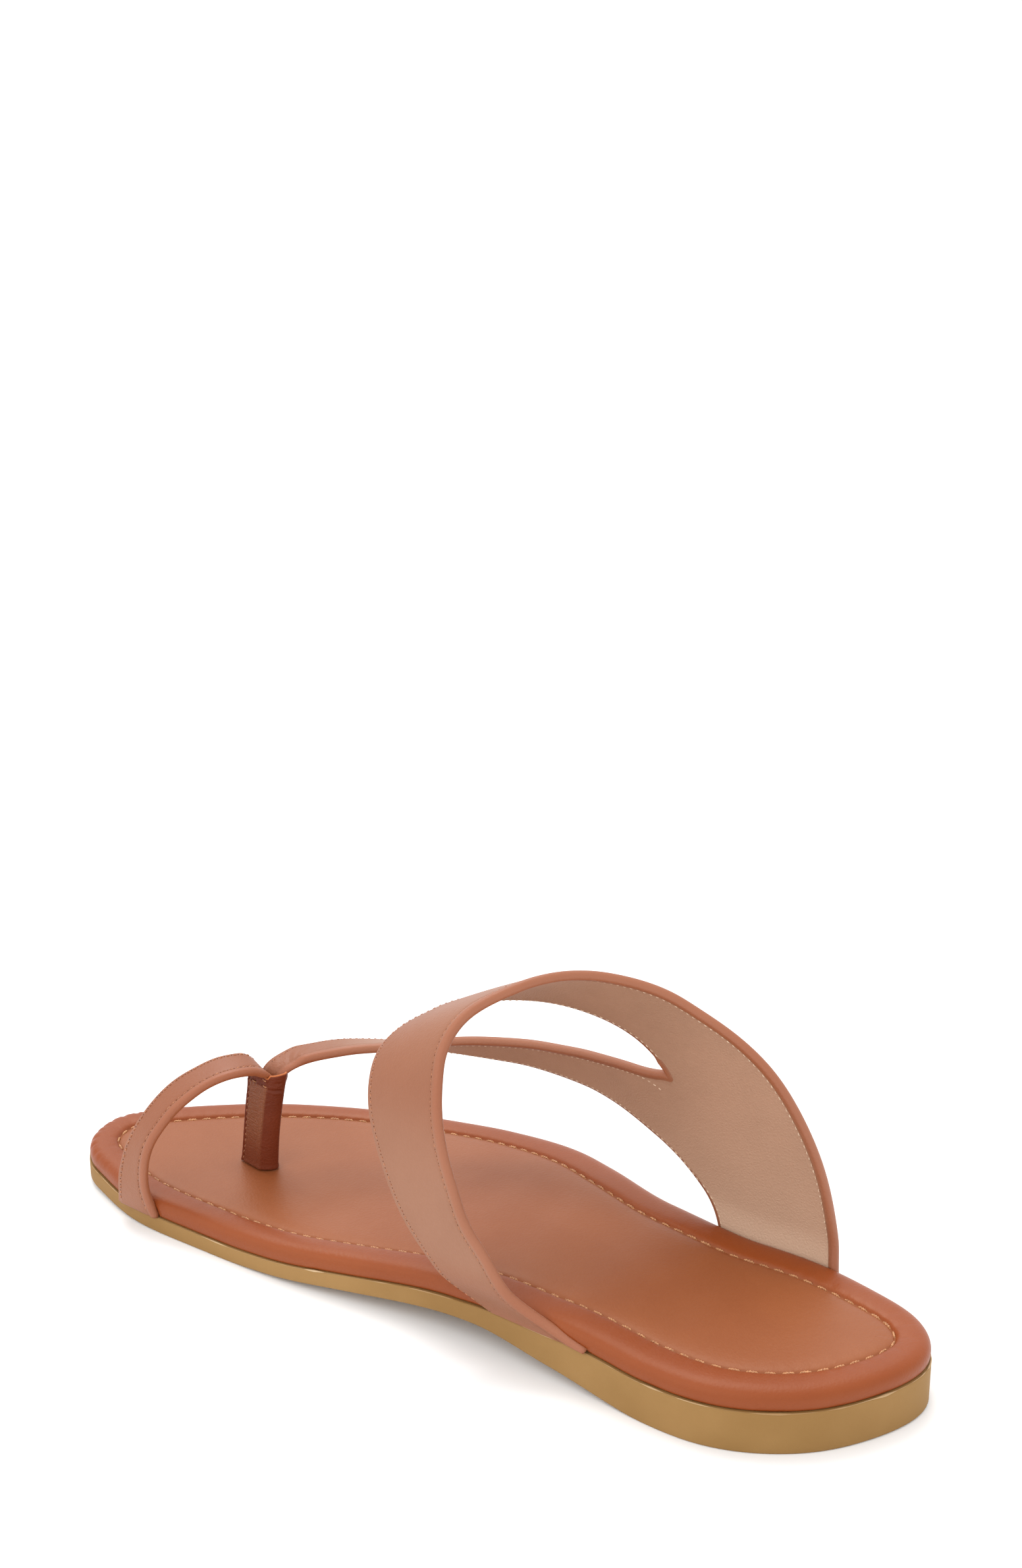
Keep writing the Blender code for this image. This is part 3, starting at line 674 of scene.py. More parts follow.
def grain_group(kind: GrainKind) -> bpy.types.NodeTree:
    """Shader node group of a leather's grain.

    Args:
        kind: the structure of the surface.

    Returns:
        The group, with Cells and Mottle as inputs and Height and Tone as outputs.
    """
    if kind.value in bpy.data.node_groups:
        return bpy.data.node_groups[kind.value]
    tree = bpy.data.node_groups.new(kind.value, "ShaderNodeTree")
    for name, value in (("Cells", 1200.0), ("Mottle", 30.0)):
        tree.interface.new_socket(name, in_out="INPUT", socket_type="NodeSocketFloat").default_value = value
    for name in ("Height", "Tone"):
        tree.interface.new_socket(name, in_out="OUTPUT", socket_type="NodeSocketFloat")
    board = Board(tree)
    given = board.add("NodeGroupInput").outputs
    place, cells, warp = board.place(), given["Cells"], 0.0012
    swirl = board.noise(place, board.product(cells, 0.35), 2.0).outputs["Color"]
    moved = board.out("ShaderNodeVectorMath", {0: swirl, 1: (warp, warp, warp)}, operation="MULTIPLY")
    bent = board.out("ShaderNodeVectorMath", {0: place, 1: moved}, operation="ADD")
    pores = board.out("ShaderNodeTexVoronoi", {"Vector": bent, "Scale": cells}, feature="F1")
    fine = board.noise(place, board.product(cells, 1.9), 3.0).outputs[0]
    if kind is GrainKind.SMOOTH:
        domes = board.step(pores, 0.15, 0.75, 1.0, 0.0)
        height = board.between(0.62, domes, fine)
    else:
        ins = {"Vector": bent, "Scale": cells}
        veins = board.out("ShaderNodeTexVoronoi", ins, feature="DISTANCE_TO_EDGE")
        domes = board.step(veins, 0.0, 0.32)
        height = board.between(0.25, domes, fine)
    mottle = board.noise(place, given["Mottle"], 5.0, 0.6).outputs[0]
    speck = board.noise(place, board.product(cells, 0.6), 2.0).outputs[0]
    tone = board.between(0.3, board.step(mottle, 0.3, 0.7), speck)
    board.add("NodeGroupOutput", {"Height": height, "Tone": tone})
    return tree


def grain(board: Board, kind: GrainKind, cells: float, mottle: float) -> bpy.types.Node:
    """Places a grain group in a material.

    Args:
        board: the material's nodes.
        kind: the structure of the surface.
        cells: how fine the structure is, per metre.
        mottle: how fine the shading is, per metre.

    Returns:
        The group's node.
    """
    return board.add("ShaderNodeGroup", {"Cells": cells, "Mottle": mottle}, node_tree=grain_group(kind))


def attribute(board: Board, name: str) -> bpy.types.NodeSocket:
    """A value kept on the piece's points."""
    return board.add("ShaderNodeAttribute", attribute_name=name).outputs["Fac"]


@dataclass(frozen=True)
class Finish:
    """One material: its name, colours, roughness, relief and shine."""

    name: str
    low: Colour
    high: Colour
    roughness: float = 0.45
    cells: float = 1300.0
    mottle: float = 26.0
    relief: float = 0.05 * MM
    specular: float = 0.5
    shine: Colour = (1.0, 1.0, 1.0)
    spread: float = 0.05

    def start(self) -> tuple[bpy.types.Material, Board, bpy.types.Node]:
        """A new material with its node board and its Principled shader."""
        material = bpy.data.materials.new(self.name)
        material.use_nodes = True
        shader = material.node_tree.nodes["Principled BSDF"]
        shader.inputs["Specular IOR Level"].default_value = self.specular
        shader.inputs["Specular Tint"].default_value = (*self.shine, 1.0)
        return material, Board(material.node_tree), shader

    def skin(self, board: Board) -> tuple[bpy.types.NodeSocket, bpy.types.NodeSocket]:
        """Tone and height of the leather's smooth grain."""
        outputs = grain(board, GrainKind.SMOOTH, self.cells, self.mottle).outputs
        return outputs["Tone"], outputs["Height"]

    def rubbed(self, board: Board, share: object) -> bpy.types.NodeSocket:
        """Roughness, which falls by twice the spread from share 0 to share 1."""
        return board.between(share, self.roughness + self.spread, self.roughness - self.spread)

    def dress(
            self, board: Board, shader: bpy.types.Node, colour: object, rough: object, height: object,
    ) -> None:
        """Feeds the shader.

        Args:
            board: the material's nodes.
            shader: its Principled shader.
            colour: the colour at each place.
            rough: the roughness at each place.
            height: the height at each place, as a share of the relief.
        """
        normal = board.out("ShaderNodeBump", {"Strength": 1.0, "Distance": self.relief, "Height": height})
        for key, value in (("Base Color", colour), ("Roughness", rough), ("Normal", normal)):
            board.tree.links.new(value, shader.inputs[key])

    def build(self) -> bpy.types.Material:
        """Makes the material."""
        material, board, shader = self.start()
        tone, height = self.skin(board)
        colour = board.mix(tone, self.low, self.high)
        self.dress(board, shader, colour, self.rubbed(board, tone), height)
        return material


@dataclass(frozen=True)
class PadFinish(Finish):
    """Smooth leather with painted shade on the rim outside the groove: a darker, more saturated colour there.
    """

    # Painted shade: share of the colour kept on the rim, darker and more saturated where less reflection lies
    rim_shade: Colour = (0.91, 0.64, 0.34)

    def build(self) -> bpy.types.Material:
        """Makes the material, led by the rim kept on the footbed's points."""
        material, board, shader = self.start()
        tone, height = self.skin(board)
        rim = attribute(board, "rim")
        ends = []
        for base in (self.low, self.high):
            shaded = tuple(part * share for part, share in zip(base, self.rim_shade))
            ends.append(board.mix(rim, base, shaded))
        self.dress(board, shader, board.mix(tone, *ends), self.rubbed(board, tone), height)
        return material


@dataclass(frozen=True)
class StrapFinish(Finish):
    """Smooth strap leather with folded edges outside and a pebbled lining inside."""

    lining_low: Colour = (0.31, 0.170, 0.104)
    lining_high: Colour = (0.40, 0.225, 0.142)
    # Painted light: the paler colour of the lit lower lining
    lining_pale: Colour = (0.50, 0.330, 0.225)
    lining_rough: float = 0.62
    relief: float = 0.14 * MM
    # Painted sheen: lighter, pinker colour on the crest of the folded edges
    edge: Colour = (0.315, 0.096, 0.040)
    # Painted sheen: lighter, greyer strap colours standing in for the surroundings' reflection on the outer
    # face
    dusty_low: Colour = (0.262, 0.112, 0.059)
    dusty_high: Colour = (0.300, 0.134, 0.074)

    def build(self) -> bpy.types.Material:
        """Makes the material, led by the edge distances kept on the strap's points."""
        material, board, shader = self.start()
        tone, height = self.skin(board)
        pebble = grain(board, GrainKind.PEBBLED, 1150.0, 22.0).outputs
        rolled, plain = attribute(board, "rolled_mm"), attribute(board, "plain_mm")
        within = board.product(board.step(rolled, 2.22, 2.34), board.step(plain, 1.1, 1.22))
        lining = board.product(within, board.step(attribute(board, "inside"), 0.4, 0.6))
        # painted sheen mixed into the outer colour where the shape keeps it
        dust = attribute(board, "dust")
        low, high = board.mix(dust, self.low, self.dusty_low), board.mix(dust, self.high, self.dusty_high)
        # painted sheen along the folded edge, fading towards the stitches
        fold = board.product(board.step(rolled, 0.9, 2.3, 1.0, 0.0), 0.55)
        outer = board.mix(fold, board.mix(tone, low, high), self.edge)
        cloth = board.mix(pebble["Tone"], self.lining_low, self.lining_high)
        # painted light on the lower lining
        cloth = board.mix(attribute(board, "pale"), cloth, self.lining_pale)
        rough = board.between(lining, self.rubbed(board, tone), self.lining_rough)
        outside, inside = board.product(height, 0.45), board.product(pebble["Height"], 0.40)
        drawn = board.between(lining, outside, inside)
        self.dress(board, shader, board.mix(lining, outer, cloth), rough, drawn)
        return material


@dataclass(frozen=True)
class PostFinish(Finish):
    """Leather in lit and shaded copies: a dark, shaded tone, a finely wrinkled leaf painted lighter as lit,
    and a raw cut rim.
    """

    # Painted light: the lighter colours of the lit medial leaf
    lit_leaf_low: Colour = (0.196, 0.058, 0.023)
    lit_leaf_high: Colour = (0.240, 0.084, 0.039)
    cut: Colour = (0.46, 0.135, 0.040)

    def build(self) -> bpy.types.Material:
        """Makes the material, led by the leaf and rim kept on the sleeve's points."""
        material, board, shader = self.start()
        tone, height = self.skin(board)
        leaf, raw = attribute(board, "leaf"), attribute(board, "raw")
        ins = {
            "Vector": board.place(), "Scale": 380.0, "Distortion": 11.0, "Detail": 2.5, "Detail Scale": 2.2}
        waves = board.add("ShaderNodeTexWave", ins, bands_direction="Z")
        wrinkles = board.step(waves.outputs["Fac"], 0.25, 0.85)
        # the shaded tone of the post; the leaf is painted lighter as lit
        dark = board.mix(tone, self.low, self.high)
        lit_leaf = board.mix(board.between(0.6, tone, wrinkles), self.lit_leaf_low, self.lit_leaf_high)
        colour = board.mix(raw, board.mix(leaf, dark, lit_leaf), self.cut)
        drawn = board.between(board.between(leaf, 0.22, 0.66), height, wrinkles)
        self.dress(board, shader, colour, self.rubbed(board, leaf), drawn)
        return material


@dataclass(frozen=True)
class RubberFinish(Finish):
    """Moulded rubber, cloudy and matt."""

    spread: float = 0.08

    def build(self) -> bpy.types.Material:
        """Makes the material."""
        material, board, shader = self.start()
        place = board.place()
        cloud = board.noise(place, 18.0, 4.0, 0.55).outputs[0]
        fine = board.noise(place, 1500.0, 2.0).outputs[0]
        colour = board.mix(board.step(cloud, 0.32, 0.68), self.low, self.high)
        self.dress(board, shader, colour, self.rubbed(board, cloud), fine)
        return material


@dataclass(frozen=True)
class ThreadFinish(Finish):
    """Sewing thread with a fine twist."""

    spread: float = 0.1

    def build(self) -> bpy.types.Material:
        """Makes the material."""
        material, board, shader = self.start()
        fibre = board.noise(board.place(), 2600.0, 2.0).outputs[0]
        colour = board.mix(board.step(fibre, 0.35, 0.65), self.low, self.high)
        self.dress(board, shader, colour, self.rubbed(board, fibre), fibre)
        return material


@dataclass(frozen=True)
class Workshop:
    """The finishes of the sandal, made once."""

    strap: StrapFinish = StrapFinish(
        "strap_leather", (0.212, 0.058, 0.017), (0.248, 0.071, 0.023), 0.48, 1400.0, specular=0.45)
    footbed: PadFinish = PadFinish(
        "footbed_leather", (0.238, 0.063, 0.018), (0.278, 0.081, 0.025), 0.44, 1200.0, 20.0,
        specular=0.42, shine=(1.0, 0.84, 0.68))
    post: PostFinish = PostFinish(
        "post_leather", (0.118, 0.019, 0.005), (0.158, 0.029, 0.009), 0.46, 1300.0, 60.0,
        relief=0.10 * MM, specular=0.22)
    rubber: RubberFinish = RubberFinish(
        "honey_rubber", (0.255, 0.138, 0.042), (0.325, 0.184, 0.064), 0.68, relief=0.04 * MM, specular=0.22)
    cement: RubberFinish = RubberFinish(
        "joint_cement", (0.34, 0.20, 0.085), (0.60, 0.44, 0.26), 0.75, specular=0.2)
    gold: ThreadFinish = ThreadFinish(
        "footbed_thread", (0.30, 0.108, 0.036), (0.60, 0.29, 0.125), 0.42, relief=0.08 * MM)
    tonal: ThreadFinish = ThreadFinish(
        "strap_thread", (0.24, 0.076, 0.029), (0.46, 0.185, 0.086), 0.5, relief=0.06 * MM)
    cream: ThreadFinish = ThreadFinish(
        "lining_thread", (0.50, 0.33, 0.22), (0.74, 0.56, 0.40), 0.5, relief=0.06 * MM)
    # Needle holes are real; their dark colour is painted shade inside them
    hole: Finish = Finish("needle_hole_shade", (0.100, 0.029, 0.011), (0.130, 0.040, 0.016), 0.9, specular=0.02)


class StitchTree:
    """Geometry Nodes tree that sets threads along a line, at one pitch."""

    INPUTS = {
        "Line": "Geometry", "Thread": "Object", "Finish": "Material", "Pitch": "Float", "Least size": "Float",
        "Wander": "Float", "Seed": "Int",
    }
    # Most turn of a stitch about each of its axes, at a wander of 1
    LEAN = (0.1, 0.1, 0.6)

    def __init__(self) -> None:
        """Builds the tree with its named inputs."""
        tree = bpy.data.node_groups.new("stitch run", "GeometryNodeTree")
        face = tree.interface
        for name, kind in self.INPUTS.items():
            face.new_socket(name, in_out="INPUT", socket_type=f"NodeSocket{kind}")
        face.new_socket("Stitches", in_out="OUTPUT", socket_type="NodeSocketGeometry")
        board = Board(tree)
        given = board.add("NodeGroupInput").outputs
        line = board.out("GeometryNodeMeshToCurve", {"Mesh": given["Line"]})
        ins = {"Curve": line, "Length": given["Pitch"]}
        marks = board.out("GeometryNodeResampleCurve", ins, mode="LENGTH")
        along = board.out("GeometryNodeInputTangent")
        facing = board.out("GeometryNodeInputNamedAttribute", {"Name": "facing"}, data_type="FLOAT_VECTOR")
        turned = board.out("FunctionNodeAlignRotationToVector", {"Vector": along}, axis="X")
        ins = {"Rotation": turned, "Vector": facing}
        upright = board.out("FunctionNodeAlignRotationToVector", ins, axis="Z", pivot_axis="X")
        most = []
        for sign in (-1, 1):
            reach = tuple(sign * part for part in self.LEAN)
            most.append(board.out("ShaderNodeVectorMath", {0: reach, 3: given["Wander"]}, operation="SCALE"))
        ins = {0: most[0], 1: most[1], "Seed": given["Seed"]}
        lean = board.out("FunctionNodeRandomValue", ins, data_type="FLOAT_VECTOR")
        lean = board.out("FunctionNodeEulerToRotation", {0: lean})
        ins = {2: given["Least size"], 3: 1.0, "Seed": given["Seed"]}
        size = board.add("FunctionNodeRandomValue", ins, data_type="FLOAT").outputs[1]
        threads = board.add("GeometryNodeObjectInfo", {"Object": given["Thread"]}).outputs["Geometry"]
        placed = board.out("GeometryNodeInstanceOnPoints", {
            "Points": marks, "Instance": threads, "Rotation": upright, "Scale": size})
        leaned = board.out("GeometryNodeRotateInstances", {"Instances": placed, "Rotation": lean})
        real = board.out("GeometryNodeRealizeInstances", {0: leaned})
        dressed = board.out("GeometryNodeSetMaterial", {"Geometry": real, "Material": given["Finish"]})
        board.add("NodeGroupOutput", {0: dressed})
        self.tree = tree
        self.keys = {item.name: item.identifier for item in face.items_tree if item.in_out == "INPUT"}

    def run(self, name: str, line: Line, **given: object) -> bpy.types.Mesh:
        """Sets threads along a line.

        Args:
            name: name of the mesh.
            line: the line on the leather.
            **given: the tree's other inputs, with spaces written as underscores.

        Returns:
            A plain mesh of the stitches.
        """
        count = len(line.points)
        edges = [(k, (k + 1) % count) for k in range(count if line.closed else count - 1)]
        mesh = bpy.data.meshes.new(name)
        mesh.from_pydata(line.points.tolist(), edges, [])
        layer = mesh.attributes.new("facing", "FLOAT_VECTOR", "POINT")
        layer.data.foreach_set("vector", np.asarray(line.facing, np.float32).ravel())
        path = bpy.data.objects.new(name, mesh)
        bpy.context.scene.collection.objects.link(path)
        step = path.modifiers.new("stitch run", "NODES")
        step.node_group = self.tree
        for key, value in given.items():
            step[self.keys[key.replace("_", " ")]] = value
        graph = bpy.context.evaluated_depsgraph_get()
        result = bpy.data.meshes.new_from_object(path.evaluated_get(graph))
        bpy.data.objects.remove(path, do_unlink=True)
        return result


def bump(distance: np.ndarray, centre: float, width: float) -> np.ndarray:
    """Bell of height one."""
    return np.exp(-((np.asarray(distance, float) - centre) / width) ** 2)


def creases(table: Table, u: np.ndarray, v: np.ndarray) -> np.ndarray:
    """Depth of listed creases.

    Args:
        table: rows of start u, start v, end u, end v, width and depth, all in millimetres.
        u: first coordinate of each point, in millimetres.
        v: second coordinate of each point, in millimetres.

    Returns:
        Depth at each point in metres, with a low swelling on both sides of each crease.
    """
    depth = np.zeros(np.broadcast(u, v).shape)
    for u0, v0, u1, v1, width, deep in table:
        run = np.array([u1 - u0, v1 - v0])
        size = float(np.hypot(*run))
        along = ((u - u0) * run[0] + (v - v0) * run[1]) / size
        aside = ((v - v0) * run[0] - (u - u0) * run[1]) / size
        taper = ease(along, -0.6, 0.35 * size) * (1 - ease(along, 0.65 * size, size + 0.6))
        aside = aside + 0.12 * width * np.sin(2.4 * along)
        depth += deep * MM * taper * (bump(aside, 0, width) - 0.45 * bump(np.abs(aside), 1.7 * width, width))
    return depth


def rough_walk(count: int, seed: int, spans: Sequence[int]) -> np.ndarray:
    """Even noise on a closed line, between about -1 and 1."""
    rng = np.random.default_rng(seed)
    total = np.zeros(count)
    for span in spans:
        knots = max(4, count // span)
        values = rng.uniform(-1, 1, knots)
        at = np.arange(count) * knots / count
        low = np.floor(at).astype(int)
        share = at - low
        share = share * share * (3 - 2 * share)
        total += values[low % knots] * (1 - share) + values[(low + 1) % knots] * share
    return total / len(spans)


def face_out(shape: Shape) -> Shape:
    """Turns the faces of a closed shape outwards."""
    volume = 0.0
    for face in shape.faces:
        first = shape.points[face[0]]
        for k in range(1, len(face) - 1):
            volume += float(np.dot(first, np.cross(shape.points[face[k]], shape.points[face[k + 1]])))
    if volume < 0:
        shape.faces = [face[::-1] for face in shape.faces]
    return shape


@dataclass
class SoleLoft:
    """Rings round the sole's outline, closed by rungs from side to side."""

    last: Last
    stations: int = STATIONS
    columns: int = 12

    def __post_init__(self) -> None:
        """Reads the outline once."""
        self.places, self.normals = self.last.outline(self.stations)
        self.along = self.places[:, 1] / self.last.length

    def ring(self, inset: np.ndarray | float, height: Rise, lift: np.ndarray | float = 0.0) -> np.ndarray:
        """One ring.

        Args:
            inset: how far inside the outline each point lies.
            height: height of the surface at a share of the length.
            lift: height added at each point.

        Returns:
            The ring's points.
        """
        flat = self.places - self.normals * np.broadcast_to(inset, len(self.places))[:, None]
        return np.column_stack([flat, height(np.clip(flat[:, 1] / self.last.length, 0, 1)) + lift])

    def arc(self, ring: np.ndarray) -> np.ndarray:
        """Distance along a closed ring at each of its points, and the whole length last."""
        return arc_lengths(np.vstack([ring, ring[:1]]))

    def cap(
            self, ring: np.ndarray, ids: np.ndarray, start: int, height: Rise, up: bool,
    ) -> tuple[np.ndarray, Faces]:
        """Closes a ring with rungs.

        Args:
            ring: the ring's points.
            ids: their vertex numbers.
            start: number of the first new vertex.
            height: height of the surface at a share of the length.
            up: whether the cap faces upwards.

        Returns:
            The new points and the faces.
        """
        steps = np.arange(1, self.stations)
        medial, lateral = ring[steps], ring[2 * self.stations - steps]
        shares = np.linspace(0, 1, self.columns + 2)[1:-1]
        inner = medial[:, None] + (lateral - medial)[:, None] * shares[None, :, None]
        inner[..., 2] = height(np.clip(inner[..., 1] / self.last.length, 0, 1))
        numbers = start + np.arange(inner.shape[0] * inner.shape[1]).reshape(inner.shape[:2])
        grid = np.column_stack([ids[steps], numbers, ids[2 * self.stations - steps]])
        faces = grid_faces(grid[:, ::-1])
        heel, toe = int(ids[0]), int(ids[self.stations])
        faces += [(heel, int(b), int(a)) for a, b in zip(grid[0][:-1], grid[0][1:])]
        faces += [(toe, int(a), int(b)) for a, b in zip(grid[-1][:-1], grid[-1][1:])]
        return inner.reshape(-1, 3), faces if up else [face[::-1] for face in faces]

    def close(self, rings: list[np.ndarray], floor: Rise, roof: Rise) -> Shape:
        """Joins rings from the lowest to the innermost top one into a closed shape."""
        count = 2 * self.stations
        ids = np.arange(len(rings) * count).reshape(len(rings), count)
        below, low_faces = self.cap(rings[0], ids[0], ids.size, floor, False)
        above, top_faces = self.cap(rings[-1], ids[-1], ids.size + len(below), roof, True)
        return Shape(np.vstack([*rings, below, above]), ring_faces(ids) + low_faces + top_faces)


@dataclass
class Outsole:
    """Moulded rubber bottom with softly rounded edges."""

    loft: SoleLoft

    def build(self) -> Shape:
        """Makes the shape."""
        last = self.loft.last
        rings = []
        for inset, rise, from_top in RUBBER_SIDE:
            base = last.top if from_top else last.bottom
            rings.append(self.loft.ring(inset * MM, base, rise * MM))
        return self.loft.close(rings, last.bottom, last.top)


# Unevenness of the cement: seed and waves in stations, for its broad and fine swelling, its specks
# and its sag
CEMENT_WALKS = ((7, (26, 9)), (11, (4, 3)), (29, (2, 3)), (17, (12, 5)))


@dataclass
class Cement:
    """Uneven line of dried cement at the joint of footbed and outsole."""

    loft: SoleLoft
    inset: float = 0.20 * MM
    thick: float = 0.34 * MM
    sag: float = 0.10 * MM
    sides: int = 6

    def build(self) -> Shape:
        """Makes the shape, thick and thin along the joint."""
        count = 2 * self.loft.stations
        broad, fine, speck, sway = (rough_walk(count, seed, spans) for seed, spans in CEMENT_WALKS)
        walk = 0.6 * broad + 0.4 * fine
        size = self.thick * np.clip(0.30 + 1.5 * walk + 0.5 * speck, 0.10, 1.5)
        sag = self.sag * sway
        rings = []
        for k in range(self.sides):
            turn = 2 * math.pi * k / self.sides
            inset = self.inset - size * math.cos(turn)
            rings.append(self.loft.ring(inset, self.loft.last.top, 0.75 * size * math.sin(turn) + sag))
        ids = np.arange(self.sides * count).reshape(self.sides, count)
        return face_out(Shape(np.vstack(rings), ring_faces(np.vstack([ids, ids[:1]]))))


# Pleats of the rim's leather at the toe: distance from the toe's tip (lateral side positive) and
# height in the section at both ends, width and depth, in millimetres
TOE_PLEATS: Table = (
    (-19.5, 2.6, -18.8, 7.4, 0.40, 0.16), (-17.2, 2.0, -16.9, 7.0, 0.34, 0.20),
    (-14.9, 2.8, -14.6, 7.6, 0.36, 0.22), (-12.6, 1.8, -12.3, 7.2, 0.40, 0.24),
    (-10.4, 2.4, -10.4, 7.6, 0.36, 0.22), (-8.3, 1.9, -8.0, 6.9, 0.34, 0.26),
    (-6.3, 2.6, -6.1, 7.4, 0.36, 0.22), (-4.2, 1.8, -4.1, 7.1, 0.40, 0.26),
    (-2.1, 2.3, -2.2, 7.5, 0.34, 0.20), (0.2, 1.9, 0.1, 7.0, 0.38, 0.26),
    (2.4, 2.5, 2.2, 7.4, 0.36, 0.22), (4.6, 1.8, 4.4, 7.0, 0.36, 0.24),
    (6.9, 2.4, 6.6, 7.4, 0.38, 0.22), (9.3, 2.0, 9.0, 7.2, 0.36, 0.20),
    (12.0, 2.5, 11.6, 7.5, 0.40, 0.20), (14.9, 2.2, 14.4, 6.9, 0.36, 0.16),
    (18.2, 2.6, 17.6, 7.2, 0.40, 0.14),
)


@dataclass
class Footbed:
    """Padded insole with a rolled rim and a stitched groove."""

    loft: SoleLoft
    fine: int = 4
    pitch: float = 4.15 * MM
    dimple: float = 0.13 * MM
    puff: float = 0.06 * MM
    soft: float = 0.4 * MM

    def rim(self) -> np.ndarray:
        """Width of the rim at each station."""
        return self.loft.last.pad_rim * smooth(RIM_WIDTH, 1, self.loft.along)

    def row(self, at: float) -> tuple[np.ndarray, float]:
        """Inset of each station and rise of the section at a fractional row."""
        last = self.loft.last
        inset, rise, spare = table_rows(PAD_SECTION, np.array([at]))[0]
        moved = last.footbed_inset + inset * self.rim()
        height = float(rise) * last.footbed_height
        need = last.seat_depth(self.loft.places, self.loft.stations, height) + spare * MM
        gap = need - moved
        yielding = np.where(gap > -self.soft, (gap + self.soft) ** 2 / (4 * self.soft), 0.0)
        yielding = np.where(gap > self.soft, gap, yielding)
        return moved + yielding * (at < CROWN_ROW), height

    def groove(self) -> np.ndarray:
        """The groove's bottom ring."""
        inset, rise = self.row(GROOVE_ROW)
        return self.loft.ring(inset, self.loft.last.top, rise)

    def stitch_count(self) -> int:
        """Number of stitches round the groove."""
        return round(self.loft.arc(self.groove())[-1] / self.pitch)

    def build(self) -> Shape:
        """Makes the shape, with dimples at the needle holes and pleats at the toe."""
        arc = self.loft.arc(self.groove())
        phase = 2 * math.pi * self.stitch_count() * arc[:-1] / arc[-1]
        hole = (0.5 - 0.5 * np.cos(phase)) ** 3
        from_toe = (arc[:-1] - arc[self.loft.stations]) / MM
        top = self.loft.last.top
        rings, run, before = [], 0.0, None
        for at in fine_rows(PAD_SECTION, self.fine):
            inset, rise = self.row(at)
            section = (float(inset.mean()), rise)
            run += math.dist(section, before) / MM if before else 0.0
            before = section
            near = bump(at, GROOVE_ROW, 1.1)
            puff = bump(at, GROOVE_ROW - 3.0, 1.6) + 0.5 * bump(at, GROOVE_ROW + 2.6, 1.2)
            lift = -self.dimple * near * hole + self.puff * puff * (1 - 2 * hole)
            lift = lift - creases(TOE_PLEATS, from_toe, np.full(len(from_toe), run))
            rings.append(self.loft.ring(inset, top, rise + lift))
        floor, roof = PAD_SECTION[0][1] * self.loft.last.footbed_height, float(before[1])
        shape = self.loft.close(rings, lambda along: top(along) + floor, lambda along: top(along) + roof)
        level = np.repeat(np.arange(len(rings)), 2 * self.loft.stations) / self.fine
        # where the material paints its shade: the rim outside the groove
        rim = np.zeros(len(shape.points))
        rim[:len(level)] = 1 - ease(level, GROOVE_ROW - 1.2, GROOVE_ROW - 0.2)
        shape.values["rim"] = rim
        return shape


@dataclass(frozen=True)
class EdgeWork:
    """How a strap's edges and lining are worked, in millimetres."""

    puff: float = 0.16
    groove: float = 0.20
    plain_groove: float = 0.10
    taper: float = 0.30
    lining_step: float = 0.26

    def outer(self, rolled: np.ndarray, plain: np.ndarray) -> np.ndarray:
        """Relief of the outer face at distances from the rolled and the plain edge."""
        folded = self.puff * bump(rolled, 1.4, 0.8) - self.groove * bump(rolled, 2.5, 0.26)
        flat = -self.plain_groove * bump(plain, 1.1, 0.22) - self.taper * (1 - ease(plain, 0.4, 1.8))
        return (folded + flat) * MM

    def lining(self, rolled: np.ndarray, plain: np.ndarray) -> np.ndarray:
        """How deep the lining lies at distances from the rolled and the plain edge."""
        fold = self.lining_step * ease(rolled, 2.05, 2.3) - 0.12 * (1 - ease(rolled, 1.0, 2.0))
        return (fold + 0.20 * (1 - ease(plain, 0.4, 1.4))) * MM


# Painted sheen on the straps' outer face and painted light on their lower lining: height over
# the floor in millimetres, share
PAINTED_SHEEN: Table = (
    (0.0, 0.35), (18.0, 0.50), (28.0, 1.00), (40.0, 0.95), (52.0, 0.75), (66.0, 0.35), (80.0, 0.60),
    (95.0, 0.70),
)
LIT_LINING: Table = ((0.0, 1.00), (14.0, 0.95), (30.0, 0.50), (48.0, 0.14), (66.0, 0.00), (95.0, 0.00))

# Columns of points beside a strap's edge, as distances from the edge's rounding, and the columns
# that the stitches follow beside the folded and beside the other edge
ROLL_MARKS = tuple(mark * MM for mark in (0.0, 0.2, 0.45, 0.75, 1.0, 1.13, 1.27, 1.5, 1.8, 2.3))
REAR_SEAM = 7
FRONT_SEAM = -5

# How many table rows before a strap's end its wall starts and ends to thin, and by what share
END_ROWS = (4.6, 3.6)
END_THINNED = 0.4

# Wrinkles of the thin strap's end: distance before the post and from the medial edge at both ends
# of each crease, width and depth, in millimetres
STRAP_WRINKLES: Table = (
    (7.0, 1.8, 10.2, 6.6, 0.30, 0.20), (8.8, 1.4, 12.6, 5.8, 0.34, 0.18),
    (5.4, 2.4, 7.6, 7.4, 0.30, 0.16), (11.2, 2.2, 14.8, 6.2, 0.36, 0.12),
    (4.2, 1.0, 5.2, 4.2, 0.26, 0.16), (13.8, 1.4, 17.0, 4.4, 0.36, 0.08),
)


def grid_widths(place: Callable[[np.ndarray], np.ndarray], rows: int, samples: int = 9) -> np.ndarray:
    """Width of a strap at each row, along its own curve."""
    shares = np.tile(np.linspace(0, 1, samples), (rows, 1))
    return np.linalg.norm(np.diff(place(shares), axis=1), axis=2).sum(axis=1)


def end_thinning(table: Table, at: np.ndarray) -> np.ndarray:
    """Share of a strap's wall that is left at each row, as a column."""
    first, last = (len(table) - rows for rows in END_ROWS)
    return 1 - END_THINNED * ease(at, first, last)[:, None]


